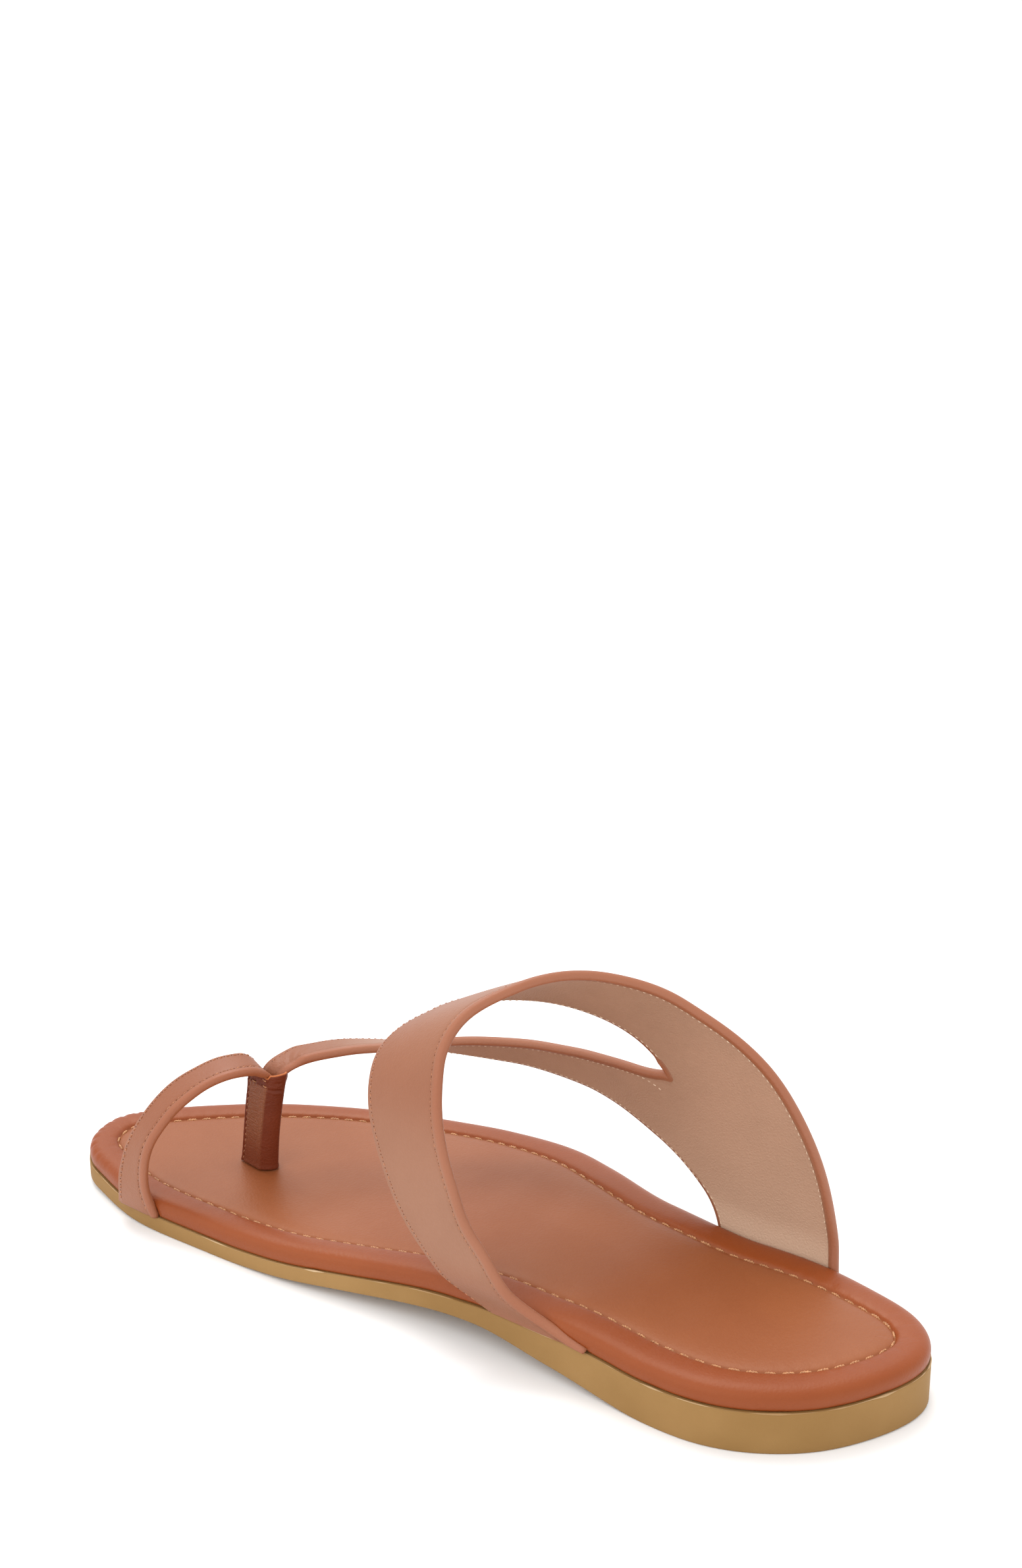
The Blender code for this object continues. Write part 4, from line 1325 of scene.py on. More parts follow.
@dataclass
class Line:
    """A line on the leather, with the way the leather faces along it."""

    points: np.ndarray
    facing: np.ndarray
    closed: bool = False

    def cut(self, first: float, last: float) -> "Line":
        """Part of the line between two shares of its points."""
        low, high = round(first * len(self.points)), round(last * len(self.points))
        return Line(self.points[low:high], self.facing[low:high])


def edge_line(points: np.ndarray, facing: np.ndarray, rows: np.ndarray, reach: float = 1.0 * MM) -> Line:
    """Line at one distance from the last column of a strap's rows."""
    places, ways = [], []
    for row in rows[:, ::-1]:
        run = arc_lengths(points[row])
        places.append([np.interp(reach, run, points[row, k]) for k in range(3)])
        ways.append([np.interp(reach, run, facing[row, k]) for k in range(3)])
    return Line(np.array(places), unit(np.array(ways)))


@dataclass
class Upper:
    """Wide strap, outer panel and thin strap of lined leather, cut in one piece.

    Three sizes are millimetres from the thin strap's end: beyond stands for all other parts,
    sleeved is the stretch that the sleeve hides, and before flat_end the lining lies less deep.
    """

    last: Last
    steps: int = 8
    middle: int = 16
    thin_middle: int = 5
    curl_rows: tuple[float, float] = (19.9, 20.7)
    spine: int = 12
    short_rows: int = 6
    beyond: float = 60.0
    sleeved: float = 4.0
    flat_end: float = 20.0
    edges: EdgeWork = EdgeWork()

    def wide(self) -> tuple[np.ndarray, np.ndarray]:
        """Points of the wide strap and panel, and the row number of each row."""
        at = fine_rows(WIDE_STRAP, self.steps)
        rows = table_rows(WIDE_STRAP, at)
        panel = at > ROOT_ROW
        edge = (THIN_STRAP[1][3:5], *(row[2:] for row in WIDE_STRAP[ROOT_ROW:]))
        rows[panel, 2:] = table_rows(edge, at[panel] - ROOT_ROW + 1)

        def place(shares: np.ndarray) -> np.ndarray:
            """Points at shares of the way across the strap."""
            along, around = between_edges(rows, shares)
            return self.last.surface(along, around, np.zeros_like(along))

        free = 1 - ease(at, APEX_ROW, APEX_ROW + 0.8) * (1 - ease(at, ROOT_ROW - 0.6, ROOT_ROW))
        curl = self.curl(at)
        far = free * (ROLL_REACH * curl + PLAIN_REACH * (1 - curl))
        widths = grid_widths(place, len(at))
        shares = chord_shares(widths, ROLL_MARKS, self.middle, np.full(len(at), ROLL_REACH), far)
        return place(shares), at

    def curl(self, at: np.ndarray) -> np.ndarray:
        """How far the wide strap's front edge is rolled at each row, up to the opening's apex."""
        return ease(at, *self.curl_rows) * (at <= APEX_ROW + 1)

    def thin(self, root: np.ndarray) -> tuple[np.ndarray, np.ndarray]:
        """Points of the thin strap from its root line, and the row number of each row."""
        at = fine_rows(THIN_STRAP, self.steps)
        rows = table_rows(THIN_STRAP, at)

        def place(shares: np.ndarray) -> np.ndarray:
            """Points at shares of the way across the strap."""
            return self.last.surface(*between_edges(rows, shares))

        grow = ease(at, 0, 1.2)
        widths = grid_widths(place, len(at))
        marked = chord_shares(widths, ROLL_MARKS, self.thin_middle, ROLL_REACH * grow, PLAIN_REACH * grow)
        even = np.linspace(0, 1, len(root))[None]
        blend = ease(at, 0, 2.0)[:, None]
        points = place(even * (1 - blend) + marked * blend)
        points = points + (root - points[0])[None] * (1 - blend)[..., None]
        points[0] = root
        return points, at

    def layout(self) -> tuple[Sheet, np.ndarray, np.ndarray, np.ndarray]:
        """Lays both straps out as one open sheet.

        Returns:
            The sheet, the point numbers of the wide and of the thin strap, one row of numbers for
            each row of points, and each point's distance from the thin strap's end in millimetres.
        """
        wide, wide_at = self.wide()
        apex, root = APEX_ROW * self.steps, ROOT_ROW * self.steps
        thin, thin_at = self.thin(wide[apex:root + 1, -1])
        count = wide.shape[0] * wide.shape[1]
        wide_ids = np.arange(count).reshape(wide.shape[:2])
        thin_ids = count + np.arange((len(thin) - 1) * thin.shape[1]).reshape(-1, thin.shape[1])
        thin_ids = np.vstack([wide_ids[apex:root + 1, -1], thin_ids])
        points = np.vstack([wide.reshape(-1, 3), thin[1:].reshape(-1, 3)])
        faces = grid_faces(wide_ids) + grid_faces(thin_ids[:, ::-1])
        wall = np.full(len(points), self.last.strap_wall)
        wall[thin_ids] *= end_thinning(THIN_STRAP, thin_at)
        rolled, plain = np.zeros(len(points)), np.zeros(len(points))
        curl = self.curl(wide_at)
        front = (wide_at <= APEX_ROW) | (wide_at >= ROOT_ROW)
        rolled[wide_ids[:, 0]] = 1
        rolled[wide_ids[:, -1]] = curl * front
        plain[wide_ids[:, -1]] = (1 - curl) * front
        rolled[thin_ids[:, 0]], plain[thin_ids[1:, -1]] = 1, 1
        end = np.full(len(points), self.beyond)
        arc = arc_lengths(thin[:, self.spine])
        end[thin_ids] = ((arc[-1] - arc) / MM)[:, None]
        return Sheet(points, faces, wall, np.zeros(len(points)), rolled, plain), wide_ids, thin_ids, end

    def seams(
            self, sides: tuple[np.ndarray, ...], wide_ids: np.ndarray, thin_ids: np.ndarray,
    ) -> dict[str, Line]:
        """Lines that the stitches follow, outside and on the lining.

        Args:
            sides: the sheet's outer points, inner points and outward normals.
            wide_ids: point numbers of the wide strap.
            thin_ids: point numbers of the thin strap.

        Returns:
            The lines by name.
        """
        outer, inner, normals = sides
        inside = thin_ids[self.steps:, REAR_SEAM]
        lines = {
            "thin front": edge_line(outer, normals, thin_ids[1:]),
            "lining thin": Line(inner[inside], -normals[inside]),
            "lining thin front": edge_line(inner, -normals, thin_ids[1:]),
        }
        apex, root = APEX_ROW * self.steps, ROOT_ROW * self.steps
        along = {
            "rear": wide_ids[:, REAR_SEAM], "front": wide_ids[:apex - self.short_rows, FRONT_SEAM],
            "panel": wide_ids[root:, FRONT_SEAM],
        }
        for name, ids in along.items():
            lines[f"wide {name}"] = Line(outer[ids], normals[ids])
            lines[f"lining {name}"] = Line(inner[ids], -normals[ids])
        return lines

    def paint_sheen_and_light(self, shape: Shape) -> None:
        """Keeps on the shape's points its painted sheen outside and the painted light on its lining, both by
        height.
        """
        high = shape.points[:, 2] / MM
        off_post = np.hypot(shape.points[:, 0], shape.points[:, 1] - POST_PLACE * self.last.length) / MM
        # painted sheen by height, weaker close to the post
        dust = smooth(PAINTED_SHEEN, 1, high) * (0.2 + 0.8 * ease(off_post, 8.0, 28.0))
        # painted light on the lining by height
        shape.values.update(dust=dust, pale=smooth(LIT_LINING, 1, high))

    def build(self) -> tuple[Shape, dict[str, Line]]:
        """Makes the shape and the lines that its stitches follow."""
        sheet, wide_ids, thin_ids, end = self.layout()
        gaps = sheet.gaps()
        near_roll, near_plain = gaps.values()
        relief = self.edges.outer(near_roll, near_plain)
        relief -= creases(STRAP_WRINKLES, end - self.sleeved, near_roll)
        sunk = self.edges.lining(near_roll, near_plain)
        sunk *= 1 - ease(self.flat_end - end, 9.0, 12.0) * 0.6
        shape, sides = sheet.shell(relief, sunk, gaps)
        self.paint_sheen_and_light(shape)
        return shape, self.seams(sides, wide_ids, thin_ids)


@dataclass
class ToeLoop:
    """Lined strap over the big toe."""

    last: Last
    rise: float = 0.0380
    wall: float = 0.0020
    steps: int = 10
    middle: int = 6
    edges: EdgeWork = EdgeWork(lining_step=0.18)

    def build(self) -> tuple[Shape, dict[str, Line]]:
        """Makes the shape and the lines that its stitches follow."""
        at = fine_rows(TOE_LOOP, self.steps)
        rows = table_rows(TOE_LOOP, at)

        def place(shares: np.ndarray) -> np.ndarray:
            """Points at shares of the way across the strap."""
            side, along, rise = between_edges(rows, shares)
            base = self.last.top(along) + self.last.joint_gap
            x, y = side * self.last.ball_width, along * self.last.length
            return np.stack([x, y, base + rise * self.rise], axis=-1)

        widths = grid_widths(place, len(at))
        full = np.ones(len(at))
        grid = place(chord_shares(widths, ROLL_MARKS, self.middle, ROLL_REACH * full, PLAIN_REACH * full))
        ids = np.arange(grid.shape[0] * grid.shape[1]).reshape(grid.shape[:2])
        points = grid.reshape(-1, 3)
        half = np.full(len(points), self.wall / 2)
        half[ids] *= end_thinning(TOE_LOOP, at)
        rolled, plain = np.zeros(len(points)), np.zeros(len(points))
        rolled[ids[:, 0]], plain[ids[:, -1]] = 1, 1
        sheet = Sheet(points, grid_faces(ids), half, half, rolled, plain)
        gaps = sheet.gaps()
        near_roll, near_plain = gaps.values()
        relief = self.edges.outer(near_roll, near_plain)
        sunk = self.edges.lining(near_roll, near_plain)
        shape, (outer, inner, normals) = sheet.shell(relief, sunk, gaps)
        # painted sheen on the loop, stronger low down
        shape.values["dust"] = 0.08 + 0.4 * (1 - ease(shape.points[:, 2] / MM, 16.0, 34.0))
        # the loop's lining gets no painted light
        shape.values["pale"] = np.zeros(len(shape.points))
        rear, front = ids[:, REAR_SEAM], ids[:, FRONT_SEAM]
        lines = {
            "loop rear": Line(outer[rear], normals[rear]),
            "loop front": Line(outer[front], normals[front]),
            "loop lining": Line(inner[rear], -normals[rear]),
        }
        return shape, lines


# Creases of the toe post: distance round from the front edge (towards the medial side positive)
# and height at both ends of each crease, width and depth, in millimetres
POST_CREASES: Table = (
    (1.8, 3.6, 4.6, 3.3, 0.26, 0.05), (3.4, 5.4, 6.9, 5.8, 0.24, 0.05), (1.6, 7.2, 4.2, 7.5, 0.24, 0.06),
    (3.8, 8.6, 7.2, 8.2, 0.26, 0.05), (1.7, 9.9, 4.9, 10.2, 0.22, 0.07),
    (4.4, 10.9, 7.4, 10.5, 0.24, 0.07), (1.5, 11.9, 4.3, 11.6, 0.22, 0.07),
    (3.9, 12.9, 7.3, 13.2, 0.24, 0.07), (1.8, 13.9, 5.2, 14.2, 0.22, 0.08),
    (4.6, 14.9, 7.4, 14.6, 0.22, 0.07), (1.6, 15.8, 4.4, 15.5, 0.24, 0.08),
    (3.8, 16.9, 7.3, 17.3, 0.22, 0.07), (1.8, 18.0, 5.0, 17.8, 0.24, 0.07),
    (4.2, 19.1, 7.2, 19.3, 0.24, 0.06), (1.7, 20.6, 4.6, 20.4, 0.24, 0.06),
    (3.6, 22.4, 6.8, 22.7, 0.26, 0.05), (1.1, 25.2, 1.5, 27.7, 0.24, 0.14),
    (2.6, 25.3, 2.2, 27.6, 0.24, 0.16), (3.9, 25.0, 4.3, 27.6, 0.26, 0.15),
    (5.4, 25.2, 5.0, 27.6, 0.24, 0.17), (6.6, 25.1, 7.0, 27.4, 0.24, 0.14),
    (-1.4, 4.6, -5.6, 4.9, 0.30, 0.06), (-1.2, 9.4, -4.6, 9.2, 0.28, 0.07),
    (-1.5, 13.8, -5.4, 14.1, 0.28, 0.07), (-1.2, 18.2, -4.8, 18.0, 0.28, 0.07),
    (9.0, 6.8, 11.0, 6.4, 0.34, 0.05), (8.8, 20.6, 11.2, 21.2, 0.36, 0.06),
    (9.4, 25.6, 12.4, 24.6, 0.45, 0.12), (11.6, 25.2, 14.4, 24.4, 0.50, 0.34),
    (12.6, 27.4, 14.2, 27.0, 0.40, 0.16),
)

# Stitch rows across the sleeve's medial leaf: share of its height
POST_ROWS = {"post row high": 0.972, "post row low": 0.888}

# Which way the leather faces at those rows and at the seam beside the front edge
ROW_FACING = (-0.97, 0.22, 0.0)
SEAM_FACING = (-0.9, 0.4, 0.0)


@dataclass
class ToePost:
    """Folded leather sleeve: pointed fold behind, flat sewn leaves in front, open at the top."""

    last: Last
    height: float = 0.0298
    length: float = 0.0119
    thickness: float = 0.0063
    nose: float = 0.0041
    lips: float = 0.45
    wall: float = 0.95 * MM
    depth: float = 10.2 * MM
    bow: float = 1.6
    front_round: float = 0.8 * MM
    seam: float = 2.4
    seam_span: tuple[float, float] = (0.03, 0.86)
    row_span: tuple[float, float] = (4.6, 9.3)
    levels: int = 190
    half: int = 48

    def section(self, rise: float) -> tuple[np.ndarray, np.ndarray]:
        """Outer ring at a height, as forward and across distances from its centre."""
        long_share, thick_share = (float(smooth(TOE_POST, k, rise)) for k in (3, 4))
        length, wide = self.length * long_share, self.thickness / 2 * thick_share
        run = length * (1 - np.cos(np.linspace(0, math.pi, self.half + 1))) / 2
        behind = np.clip(1 - run / self.nose, 0, 1)
        width = wide * (1 - behind ** self.bow) ** (1 / self.bow)
        width *= 1 - (1 - self.lips) * np.clip((run - self.nose) / (length - self.nose), 0, 1)
        ahead = np.clip(1 - (length - run) / self.front_round, 0, 1)
        width *= np.sqrt(1 - ahead ** 2)
        forward = run - length / 2
        return np.r_[forward, forward[-2:0:-1]], np.r_[-width, width[-2:0:-1]]

    def place(
            self, rise: float, forward: np.ndarray, across: np.ndarray, height: np.ndarray | float,
    ) -> np.ndarray:
        """Points of a ring in the shoe's frame."""
        side, along = (float(smooth(TOE_POST, k, rise)) for k in (1, 2))
        under = float(self.last.top(np.array([TOE_POST[0][2]]))[0])
        foot = under + self.last.footbed_height + self.last.joint_gap
        x, y = side * self.last.ball_width + across, along * self.last.length + forward
        return np.column_stack([x, y, foot + np.broadcast_to(height, len(x))])

    def relief(self, rise: float, near: np.ndarray, behind: np.ndarray) -> np.ndarray:
        """How deep the sleeve's surface lies at a height.

        Args:
            rise: share of the height.
            near: distance round from the front edge, medial side positive, in millimetres.
            behind: distance round from the fold behind, in millimetres.

        Returns:
            Depth at each point of the ring.
        """
        high = np.full(len(near), rise * self.height / MM)
        leaf = ease(near, 1.0, 1.8) * ease(behind, 4.2, 5.0)
        low_row, high_row = POST_ROWS["post row low"], POST_ROWS["post row high"]
        sewn = 0.26 * ease(rise, 0.884, 0.902) * (1 - ease(rise, 0.952, 0.976))
        sewn += 0.16 * (bump(rise, low_row, 0.007) + bump(rise, high_row, 0.006))
        seam = 0.14 * bump(near, 0, 0.25) + 0.20 * bump(near, self.seam, 0.32)
        seam = seam + 0.12 * bump(near, -self.seam, 0.32)
        waves = math.sin(rise * 61) + math.sin(rise * 97 + 1) + math.sin(rise * 143 + 2)
        edge = 0.16 * waves * bump(near, 0, 0.8)
        fold = 0.14 * bump(behind, 5.0, 0.35) * (near > 0) * (1 - ease(rise, 0.80, 0.90))
        return (leaf * sewn + seam + edge - fold) * MM + creases(POST_CREASES, near, high)

    def rim(self, rise: float, near: np.ndarray, behind: np.ndarray) -> np.ndarray:
        """Height of a ring: the top edge is highest at the fold and lowest on the lateral side."""
        medial = 0.95 * ease(behind, 4.4, 5.4) + 0.35 * ease(behind, 0.4, 4.4) - 0.3 * ease(behind, 6.0, 12.0)
        lateral = 3.0 * ease(behind, 0.8, 4.0)
        share = ease(near, -1.2, 1.2)
        dip = (lateral * (1 - share) + medial * share) * MM
        return rise * self.height - dip * ease(rise, 0.80, 1.0)

    def ring(self, rise: float) -> tuple[np.ndarray, np.ndarray, np.ndarray]:
        """One ring of the sleeve's outside.

        Args:
            rise: share of the height.

        Returns:
            Its points, and their distances round from the front edge, medial side positive, and
            from the fold behind, in millimetres.
        """
        flat = np.column_stack(self.section(rise))
        run = unit(np.roll(flat, -1, axis=0) - np.roll(flat, 1, axis=0))
        out = np.column_stack([run[:, 1], -run[:, 0]])
        out *= np.sign(np.sum(out * flat, axis=1).sum())
        arc = arc_lengths(np.vstack([flat, flat[:1]]))[:-1]
        near = (arc[self.half] - arc) / MM
        behind = arc[self.half] / MM - np.abs(near)
        base = -0.18 * MM * (1 - ease(rise, 0.0, 0.05)) + 0.2 * MM * ease(rise, 0.988, 1.0)
        flat = flat - out * (self.relief(rise, near, behind) + base)[:, None]
        return self.place(rise, flat[:, 0], flat[:, 1], self.rim(rise, near, behind)), near, behind

    def build(self) -> tuple[Shape, dict[str, Line]]:
        """Makes the shape and the lines that its stitches follow."""
        rings, leaf, seam, lines = [], [], [], {}
        for rise in np.linspace(0, 1, self.levels):
            ring, near, behind = self.ring(rise)
            rings.append(ring)
            # painted light on the medial leaf, stronger higher up
            lit = ease(near, self.seam, 2.9) * ease(behind, 4.6, 5.1) * (1 - ease(rise, 0.862, 0.880))
            leaf.append(lit * (0.25 + 0.75 * ease(rise, 0.10, 0.50)))
            if self.seam_span[0] < rise < self.seam_span[1]:
                seam.append(ring[:self.half][np.abs(near[:self.half] - self.seam).argmin()])
            for name, mark in POST_ROWS.items():
                if abs(rise - mark) <= 0.5 / (self.levels - 1):
                    start, end = self.row_span
                    inside = (near > start) & (near < end) & (np.arange(len(near)) < self.half)
                    lines[name] = Line(ring[inside], np.tile(ROW_FACING, (int(inside.sum()), 1)))
        lines["post seam"] = Line(np.array(seam), np.tile(SEAM_FACING, (len(seam), 1)))
        count = len(rings[-1])
        rings += self.mouth(rings[-1])
        ids = np.arange(len(rings) * count).reshape(len(rings), count)
        faces = ring_faces(ids)
        faces += [tuple(int(v) for v in ids[0]), tuple(int(v) for v in ids[-1][::-1])]
        values = {"leaf": np.zeros(ids.size), "raw": np.zeros(ids.size)}
        values["leaf"][:self.levels * count] = np.concatenate(leaf)
        values["raw"][ids[self.levels - 1:self.levels + 3].ravel()] = 1.0
        return face_out(Shape(np.vstack(rings), faces, values)), lines

    def mouth(self, top: np.ndarray) -> list[np.ndarray]:
        """Rings over the cut rim and down to the mouth's floor, from the ring at the top."""
        rings = []
        forward, across = self.section(1.0)
        size = np.hypot(forward, across)
        kept = 1 - self.wall / np.maximum(size, 2 * self.wall)
        inner_f, inner_c = forward * kept, across * kept
        for share, drop in ((0.3, -0.16), (0.7, -0.12), (1.0, 0.2)):
            mid_f, mid_c = forward + (inner_f - forward) * share, across + (inner_c - across) * share
            ring = self.place(1.0, mid_f, mid_c, 0.0)
            ring[:, 2] = top[:, 2] - drop * MM
            rings.append(ring)
        low = 1 - self.depth / self.height
        forward, across = self.section(low)
        return rings + [self.place(low, forward * 0.84, across * 0.70, self.height - self.depth)]


@dataclass(frozen=True)
class Seam:
    """One kind of stitch: pitch, thread length and thickness, and how it lies."""

    pitch: float
    length: float
    thick: float
    lift: float
    twisted: bool = False
    wander: float = 0.10
    least: float = 0.9
    twist: float = 4.4 * math.pi
    lobes: float = 0.26

    def thread(self, name: str) -> bpy.types.Object:
        """Prototype of one stitch, bent down at both ends."""
        rings, sides = (19, 8) if self.twisted else (7, 5)
        points, ids = [], []
        for k in range(rings):
            share = k / (rings - 1)
            along = (share - 0.5) * self.length
            girth = self.thick / 2 * (math.sin(math.pi * (0.08 + 0.84 * share)) ** 0.4)
            sag = -0.9 * self.thick * (2 * abs(share - 0.5)) ** (6 if self.twisted else 3)
            row = []
            for j in range(sides):
                turn = 2 * math.pi * j / sides + (self.twist * share if self.twisted else 0.0)
                lobe = 1 + (self.lobes * math.cos(2 * (turn - self.twist * share)) if self.twisted else 0.0)
                row.append(len(points))
                points.append((along, girth * lobe * math.cos(turn), sag + girth * lobe * math.sin(turn)))
            ids.append(row)
        faces = []
        for low, high in zip(ids[:-1], ids[1:]):
            faces += [(low[j], high[j], high[(j + 1) % sides], low[(j + 1) % sides]) for j in range(sides)]
        faces += [tuple(ids[0]), tuple(ids[-1][::-1])]
        return self.prototype(name, np.array(points), faces)

    def hole(self, name: str) -> bpy.types.Object:
        """Prototype of the needle hole at one end of a stitch."""
        points, ids = [], []
        wide, sides = 0.20 * self.thick + 0.07 * MM, 8
        for level, share in ((-0.4, 0.35), (-0.05, 1.0), (0.10, 0.75)):
            ids.append(list(range(len(points), len(points) + sides)))
            for j in range(sides):
                turn = 2 * math.pi * j / sides
                x = self.pitch / 2 + 1.5 * wide * share * math.cos(turn)
                points.append((x, wide * share * math.sin(turn), level * wide))
        faces = []
        for low, high in zip(ids[:-1], ids[1:]):
            faces += [(low[j], low[(j + 1) % sides], high[(j + 1) % sides], high[j]) for j in range(sides)]
        faces += [tuple(ids[0][::-1]), tuple(ids[-1])]
        return self.prototype(name, np.array(points), faces)

    @staticmethod
    def prototype(name: str, points: np.ndarray, faces: Faces) -> bpy.types.Object:
        """An object that is only instanced, kept out of the scene."""
        shape = face_out(Shape(points, faces))
        mesh = bpy.data.meshes.new(name)
        mesh.from_pydata(shape.points.tolist(), [], shape.faces)
        mesh.polygons.foreach_set("use_smooth", [True] * len(mesh.polygons))
        return bpy.data.objects.new(name, mesh)


# Share of an even pitch that keeps a closed seam's last stitch apart from its first
CLOSED_SHARE = 0.9999
GROOVE_SEAM = Seam(4.15 * MM, 3.3 * MM, 0.72 * MM, 0.14 * MM, twisted=True, wander=0.14, least=0.82)
STRAP_SEAM = Seam(1.7 * MM, 1.2 * MM, 0.32 * MM, 0.03 * MM)
LOOP_SEAM = Seam(1.9 * MM, 1.35 * MM, 0.42 * MM, 0.09 * MM)
LINING_SEAM = Seam(1.7 * MM, 1.15 * MM, 0.34 * MM, 0.05 * MM)
POST_SEAM = Seam(1.8 * MM, 1.25 * MM, 0.36 * MM, 0.05 * MM)
ROW_SEAM = Seam(2.3 * MM, 2.0 * MM, 0.40 * MM, 0.05 * MM, wander=0.18)


class Sewing:
    """Sews the lines and gathers each kind of thread into one piece."""

    def __init__(self, shift: np.ndarray) -> None:
        """Prepares the stitch tree.

        Args:
            shift: the move from the shoe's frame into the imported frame.
        """
        self.tree, self.shift = StitchTree(), shift
        self.count = 0

    def sew(
            self, name: str, slot: str, seam: Seam, thread: bpy.types.Material,
            hole: bpy.types.Material | None, lines: Sequence[Line]) -> None:
        """Sews lines with one kind of stitch.

        Args:
            name: name of the piece.
            slot: not used.
            seam: the kind of stitch.
            thread: material of the thread.
            hole: material of the needle holes, or none.
            lines: the lines.
        """
        kinds = [(seam.thread(f"{name}_thread"), thread, name)]
        # dark lenses painting the shade inside the needle holes
        if hole is not None:
            kinds.append((seam.hole(f"{name}_hole"), hole, f"{name}_holes"))
        for prototype, material, piece_name in kinds:
            meshes = []
            for line in lines:
                self.count += 1
                lifted = replace(line, points=line.points + line.facing * seam.lift + self.shift)
                meshes.append(self.tree.run(
                    piece_name, lifted, Thread=prototype, Finish=material, Pitch=seam.pitch,
                    Least_size=seam.least, Wander=seam.wander, Seed=self.count))
            self.join(piece_name, meshes, material)

    def join(
            self, name: str, meshes: Sequence[bpy.types.Mesh], material: bpy.types.Material,
    ) -> None:
        """Joins stitch meshes into one piece that rides with the sandal."""
        points, faces = [], []
        for mesh in meshes:
            start = len(points)
            points += [tuple(v.co) for v in mesh.vertices]
            faces += [tuple(start + v for v in face.vertices) for face in mesh.polygons]
            bpy.data.meshes.remove(mesh)
        piece = Shape(np.array(points), faces).build(name, np.zeros(3), [material])
        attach(piece, "root")
        log.info("%s: %d faces", name, len(faces))


@dataclass(frozen=True)
class Studio:
    """White floor, soft light and the photograph's camera."""

    eye: Colour = (-0.39093, -0.25455, 0.28839)
    aim: Colour = (-0.03262, -0.02711, 0.14483)
    lens: float = 46.66
    sensor: float = 36.0
    clip: tuple[float, float] = (0.01, 200.0)
    floor: float = 60.0
    white: Colour = (0.90, 0.90, 0.90)
    sky: float = 1.30
    key: float = 1.3
    fill: float = 0.6

    def aimed(self, item: bpy.types.Object, place: Sequence[float], aim: Sequence[float]) -> None:
        """Puts an object in place and turns it to a point."""
        item.location = place
        item.rotation_mode = "QUATERNION"
        item.rotation_quaternion = (Vector(aim) - Vector(place)).to_track_quat("-Z", "Y")

    def camera(self) -> None:
        """Sets up the camera."""
        data = bpy.data.cameras.new("camera")
        data.lens, data.sensor_width, data.sensor_fit = self.lens, self.sensor, "AUTO"
        data.clip_start, data.clip_end = self.clip
        item = bpy.data.objects.new("camera", data)
        bpy.context.scene.collection.objects.link(item)
        self.aimed(item, self.eye, self.aim)
        bpy.context.scene.camera = item

    def sun(self, name: str, way: Sequence[float], strength: float, spread: float) -> None:
        """Adds a wide, soft light from one side.

        Args:
            name: the light's name.
            way: where it shines from.
            strength: its strength.
            spread: how wide it looks from the sandal, in degrees.
        """
        data = bpy.data.lights.new(name, "SUN")
        data.energy, data.angle = strength, math.radians(spread)
        item = bpy.data.objects.new(name, data)
        bpy.context.scene.collection.objects.link(item)
        self.aimed(item, way, (0.0, 0.0, 0.0))

    def light(self) -> None:
        """White surroundings with a soft key from above, outside and ahead."""
        world = bpy.data.worlds.new("studio")
        world.use_nodes = True
        background = world.node_tree.nodes["Background"].inputs
        background["Color"].default_value = (1.0, 1.0, 1.0, 1.0)
        background["Strength"].default_value = self.sky
        bpy.context.scene.world = world
        self.sun("key", (0.45, 0.55, 1.3), self.key, 34.0)
        self.sun("fill", (-1.0, 0.25, 0.75), self.fill, 60.0)
        bpy.context.scene.view_settings.view_transform = "Standard"

    def ground(self) -> bpy.types.Object:
        """White floor under the sandal."""
        half = self.floor
        corners = np.array([(-half, -half, 0.0), (half, -half, 0.0), (half, half, 0.0), (-half, half, 0.0)])
        material = bpy.data.materials.new("studio_floor")
        material.use_nodes = True
        inputs = material.node_tree.nodes["Principled BSDF"].inputs
        inputs["Base Color"].default_value = (*self.white, 1.0)
        inputs["Roughness"].default_value = 0.9
        inputs["Specular IOR Level"].default_value = 0.1
        return Shape(corners, [(0, 1, 2, 3)]).build("studio_floor", np.zeros(3), [material])


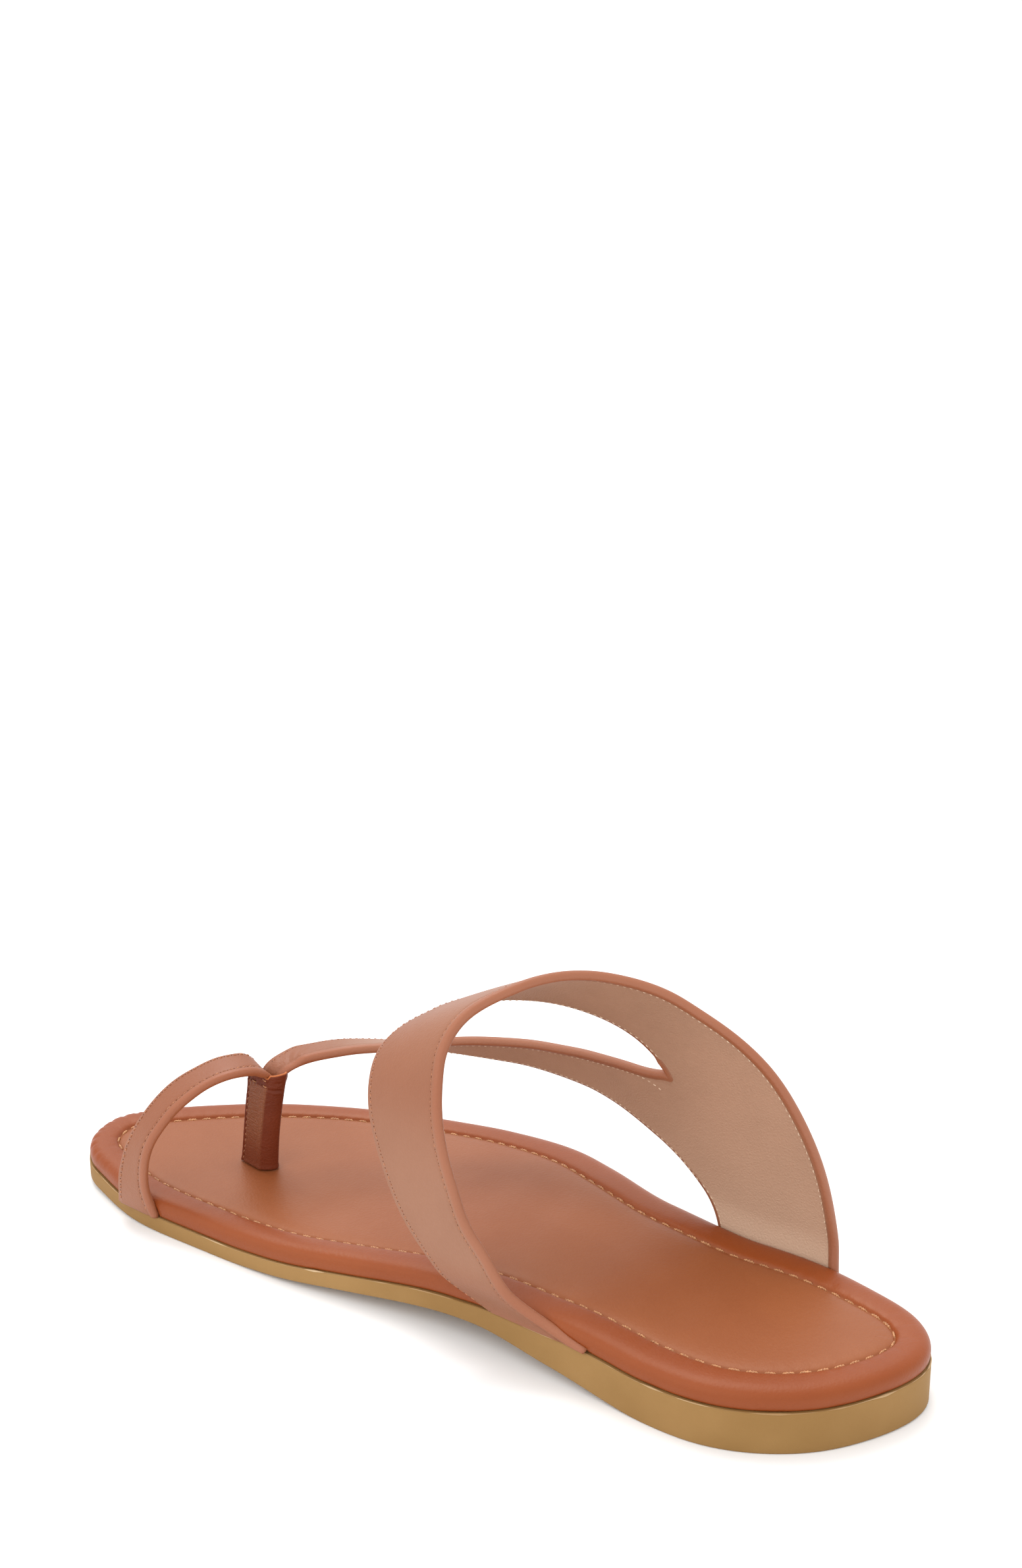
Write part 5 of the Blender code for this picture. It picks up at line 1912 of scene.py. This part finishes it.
@dataclass
class Sandal:
    """Puts the sandal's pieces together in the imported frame."""

    last: Last = field(default_factory=Last)
    shop: Workshop = field(default_factory=Workshop)

    def shift(self) -> np.ndarray:
        """Move from the shoe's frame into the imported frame, from the outsole's box."""
        places, _ = self.last.outline(STATIONS)
        low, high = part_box("outsole")
        x = (low[0] + high[0]) / 2 - (places[:, 0].min() + places[:, 0].max()) / 2
        y = (low[1] + high[1]) / 2 - (places[:, 1].min() + places[:, 1].max()) / 2
        return np.array([x, y, low[2]])

    def add(
            self, shape: Shape, name: str, node: str | None, slot: str, move: np.ndarray,
            material: bpy.types.Material) -> bpy.types.Object:
        """Builds one piece, lets it ride and stand for its node."""
        piece = shape.build(name, move, [material])
        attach(piece, "root")
        if node:
            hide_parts(node)
        log.info("%s: %d faces", name, len(shape.faces))
        return piece

    def build(self) -> None:
        """Makes every piece."""
        move, shop = self.shift(), self.shop
        log.info("shift %s", move.round(6).tolist())
        strap = shop.strap.build()
        loft = SoleLoft(self.last)
        footbed = Footbed(loft)
        self.add(Outsole(loft).build(), "rubber_bottom", "outsole", "outsole", move, shop.rubber.build())
        self.add(Cement(loft).build(), "joint_cement", None, "outsole", move, shop.cement.build())
        pad = self.add(footbed.build(), "padded_footbed", "footbed", "footbed", move, shop.footbed.build())
        upper, lines = Upper(self.last).build()
        self.add(upper, "instep_straps", "upper", "upper", move, strap)
        loop, loop_lines = ToeLoop(self.last).build()
        self.add(loop, "big_toe_loop", "toe_loop", "toe_loop", move, strap)
        post, post_lines = ToePost(self.last).build()
        self.add(post, "post_sleeve", "toe_post", "toe_post", move, shop.post.build())
        self.sew(Sewing(move), footbed, {**lines, **loop_lines, **post_lines})

    def sew(self, sewing: Sewing, footbed: Footbed, lines: dict[str, Line]) -> None:
        """Sews every line of stitches.

        Args:
            sewing: the sewing of this sandal.
            footbed: the footbed, whose groove takes a whole number of stitches.
            lines: the lines on the straps and the sleeve, by name.
        """
        finishes = (self.shop.gold, self.shop.tonal, self.shop.cream, self.shop.hole)
        gold, tonal, cream, hole = (finish.build() for finish in finishes)
        groove = footbed.groove()
        around = float(footbed.loft.arc(groove)[-1])
        seam = replace(GROOVE_SEAM, pitch=around / footbed.stitch_count() * CLOSED_SHARE)
        upward = np.tile([0.0, 0.0, 1.0], (len(groove), 1))
        sewing.sew("footbed_stitches", "footbed", seam, gold, None, [Line(groove, upward, closed=True)])

        def cut(spans: dict[str, tuple[float, float]]) -> list[Line]:
            """Lines between two shares of their points."""
            return [lines[name].cut(*span) for name, span in spans.items()]

        sewing.sew("strap_stitches", "upper", STRAP_SEAM, tonal, hole, cut({
            "wide rear": (0.06, 0.97), "wide front": (0.06, 1.0), "wide panel": (0.0, 1.0),
            "thin front": (0.0, 0.875)}))
        sewing.sew("lining_stitches", "upper", LINING_SEAM, cream, None, cut({
            "lining panel": (0.0, 1.0), "lining rear": (0.06, 0.97), "lining front": (0.06, 1.0),
            "lining thin": (0.0, 0.84), "lining thin front": (0.0, 0.84)}))
        sewing.sew("loop_stitches", "toe_loop", LOOP_SEAM, tonal, hole, cut({
            "loop rear": (0.03, 0.84), "loop front": (0.03, 0.84)}))
        sewing.sew("loop_lining_stitches", "toe_loop", LOOP_SEAM, cream, None, cut({
            "loop lining": (0.03, 0.82)}))
        sewing.sew("post_stitches", "toe_post", POST_SEAM, tonal, hole, [lines["post seam"]])
        sewing.sew("post_row_stitches", "toe_post", ROW_SEAM, gold, hole, [lines[name] for name in POST_ROWS])


def main() -> None:
    """Builds the sandal and its studio."""
    logging.basicConfig(level=logging.INFO, format="%(name)s %(message)s")
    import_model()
    Sandal().build()
    studio = Studio()
    floor = studio.ground()
    studio.camera()
    studio.light()


if __name__ == "__main__":
    main()
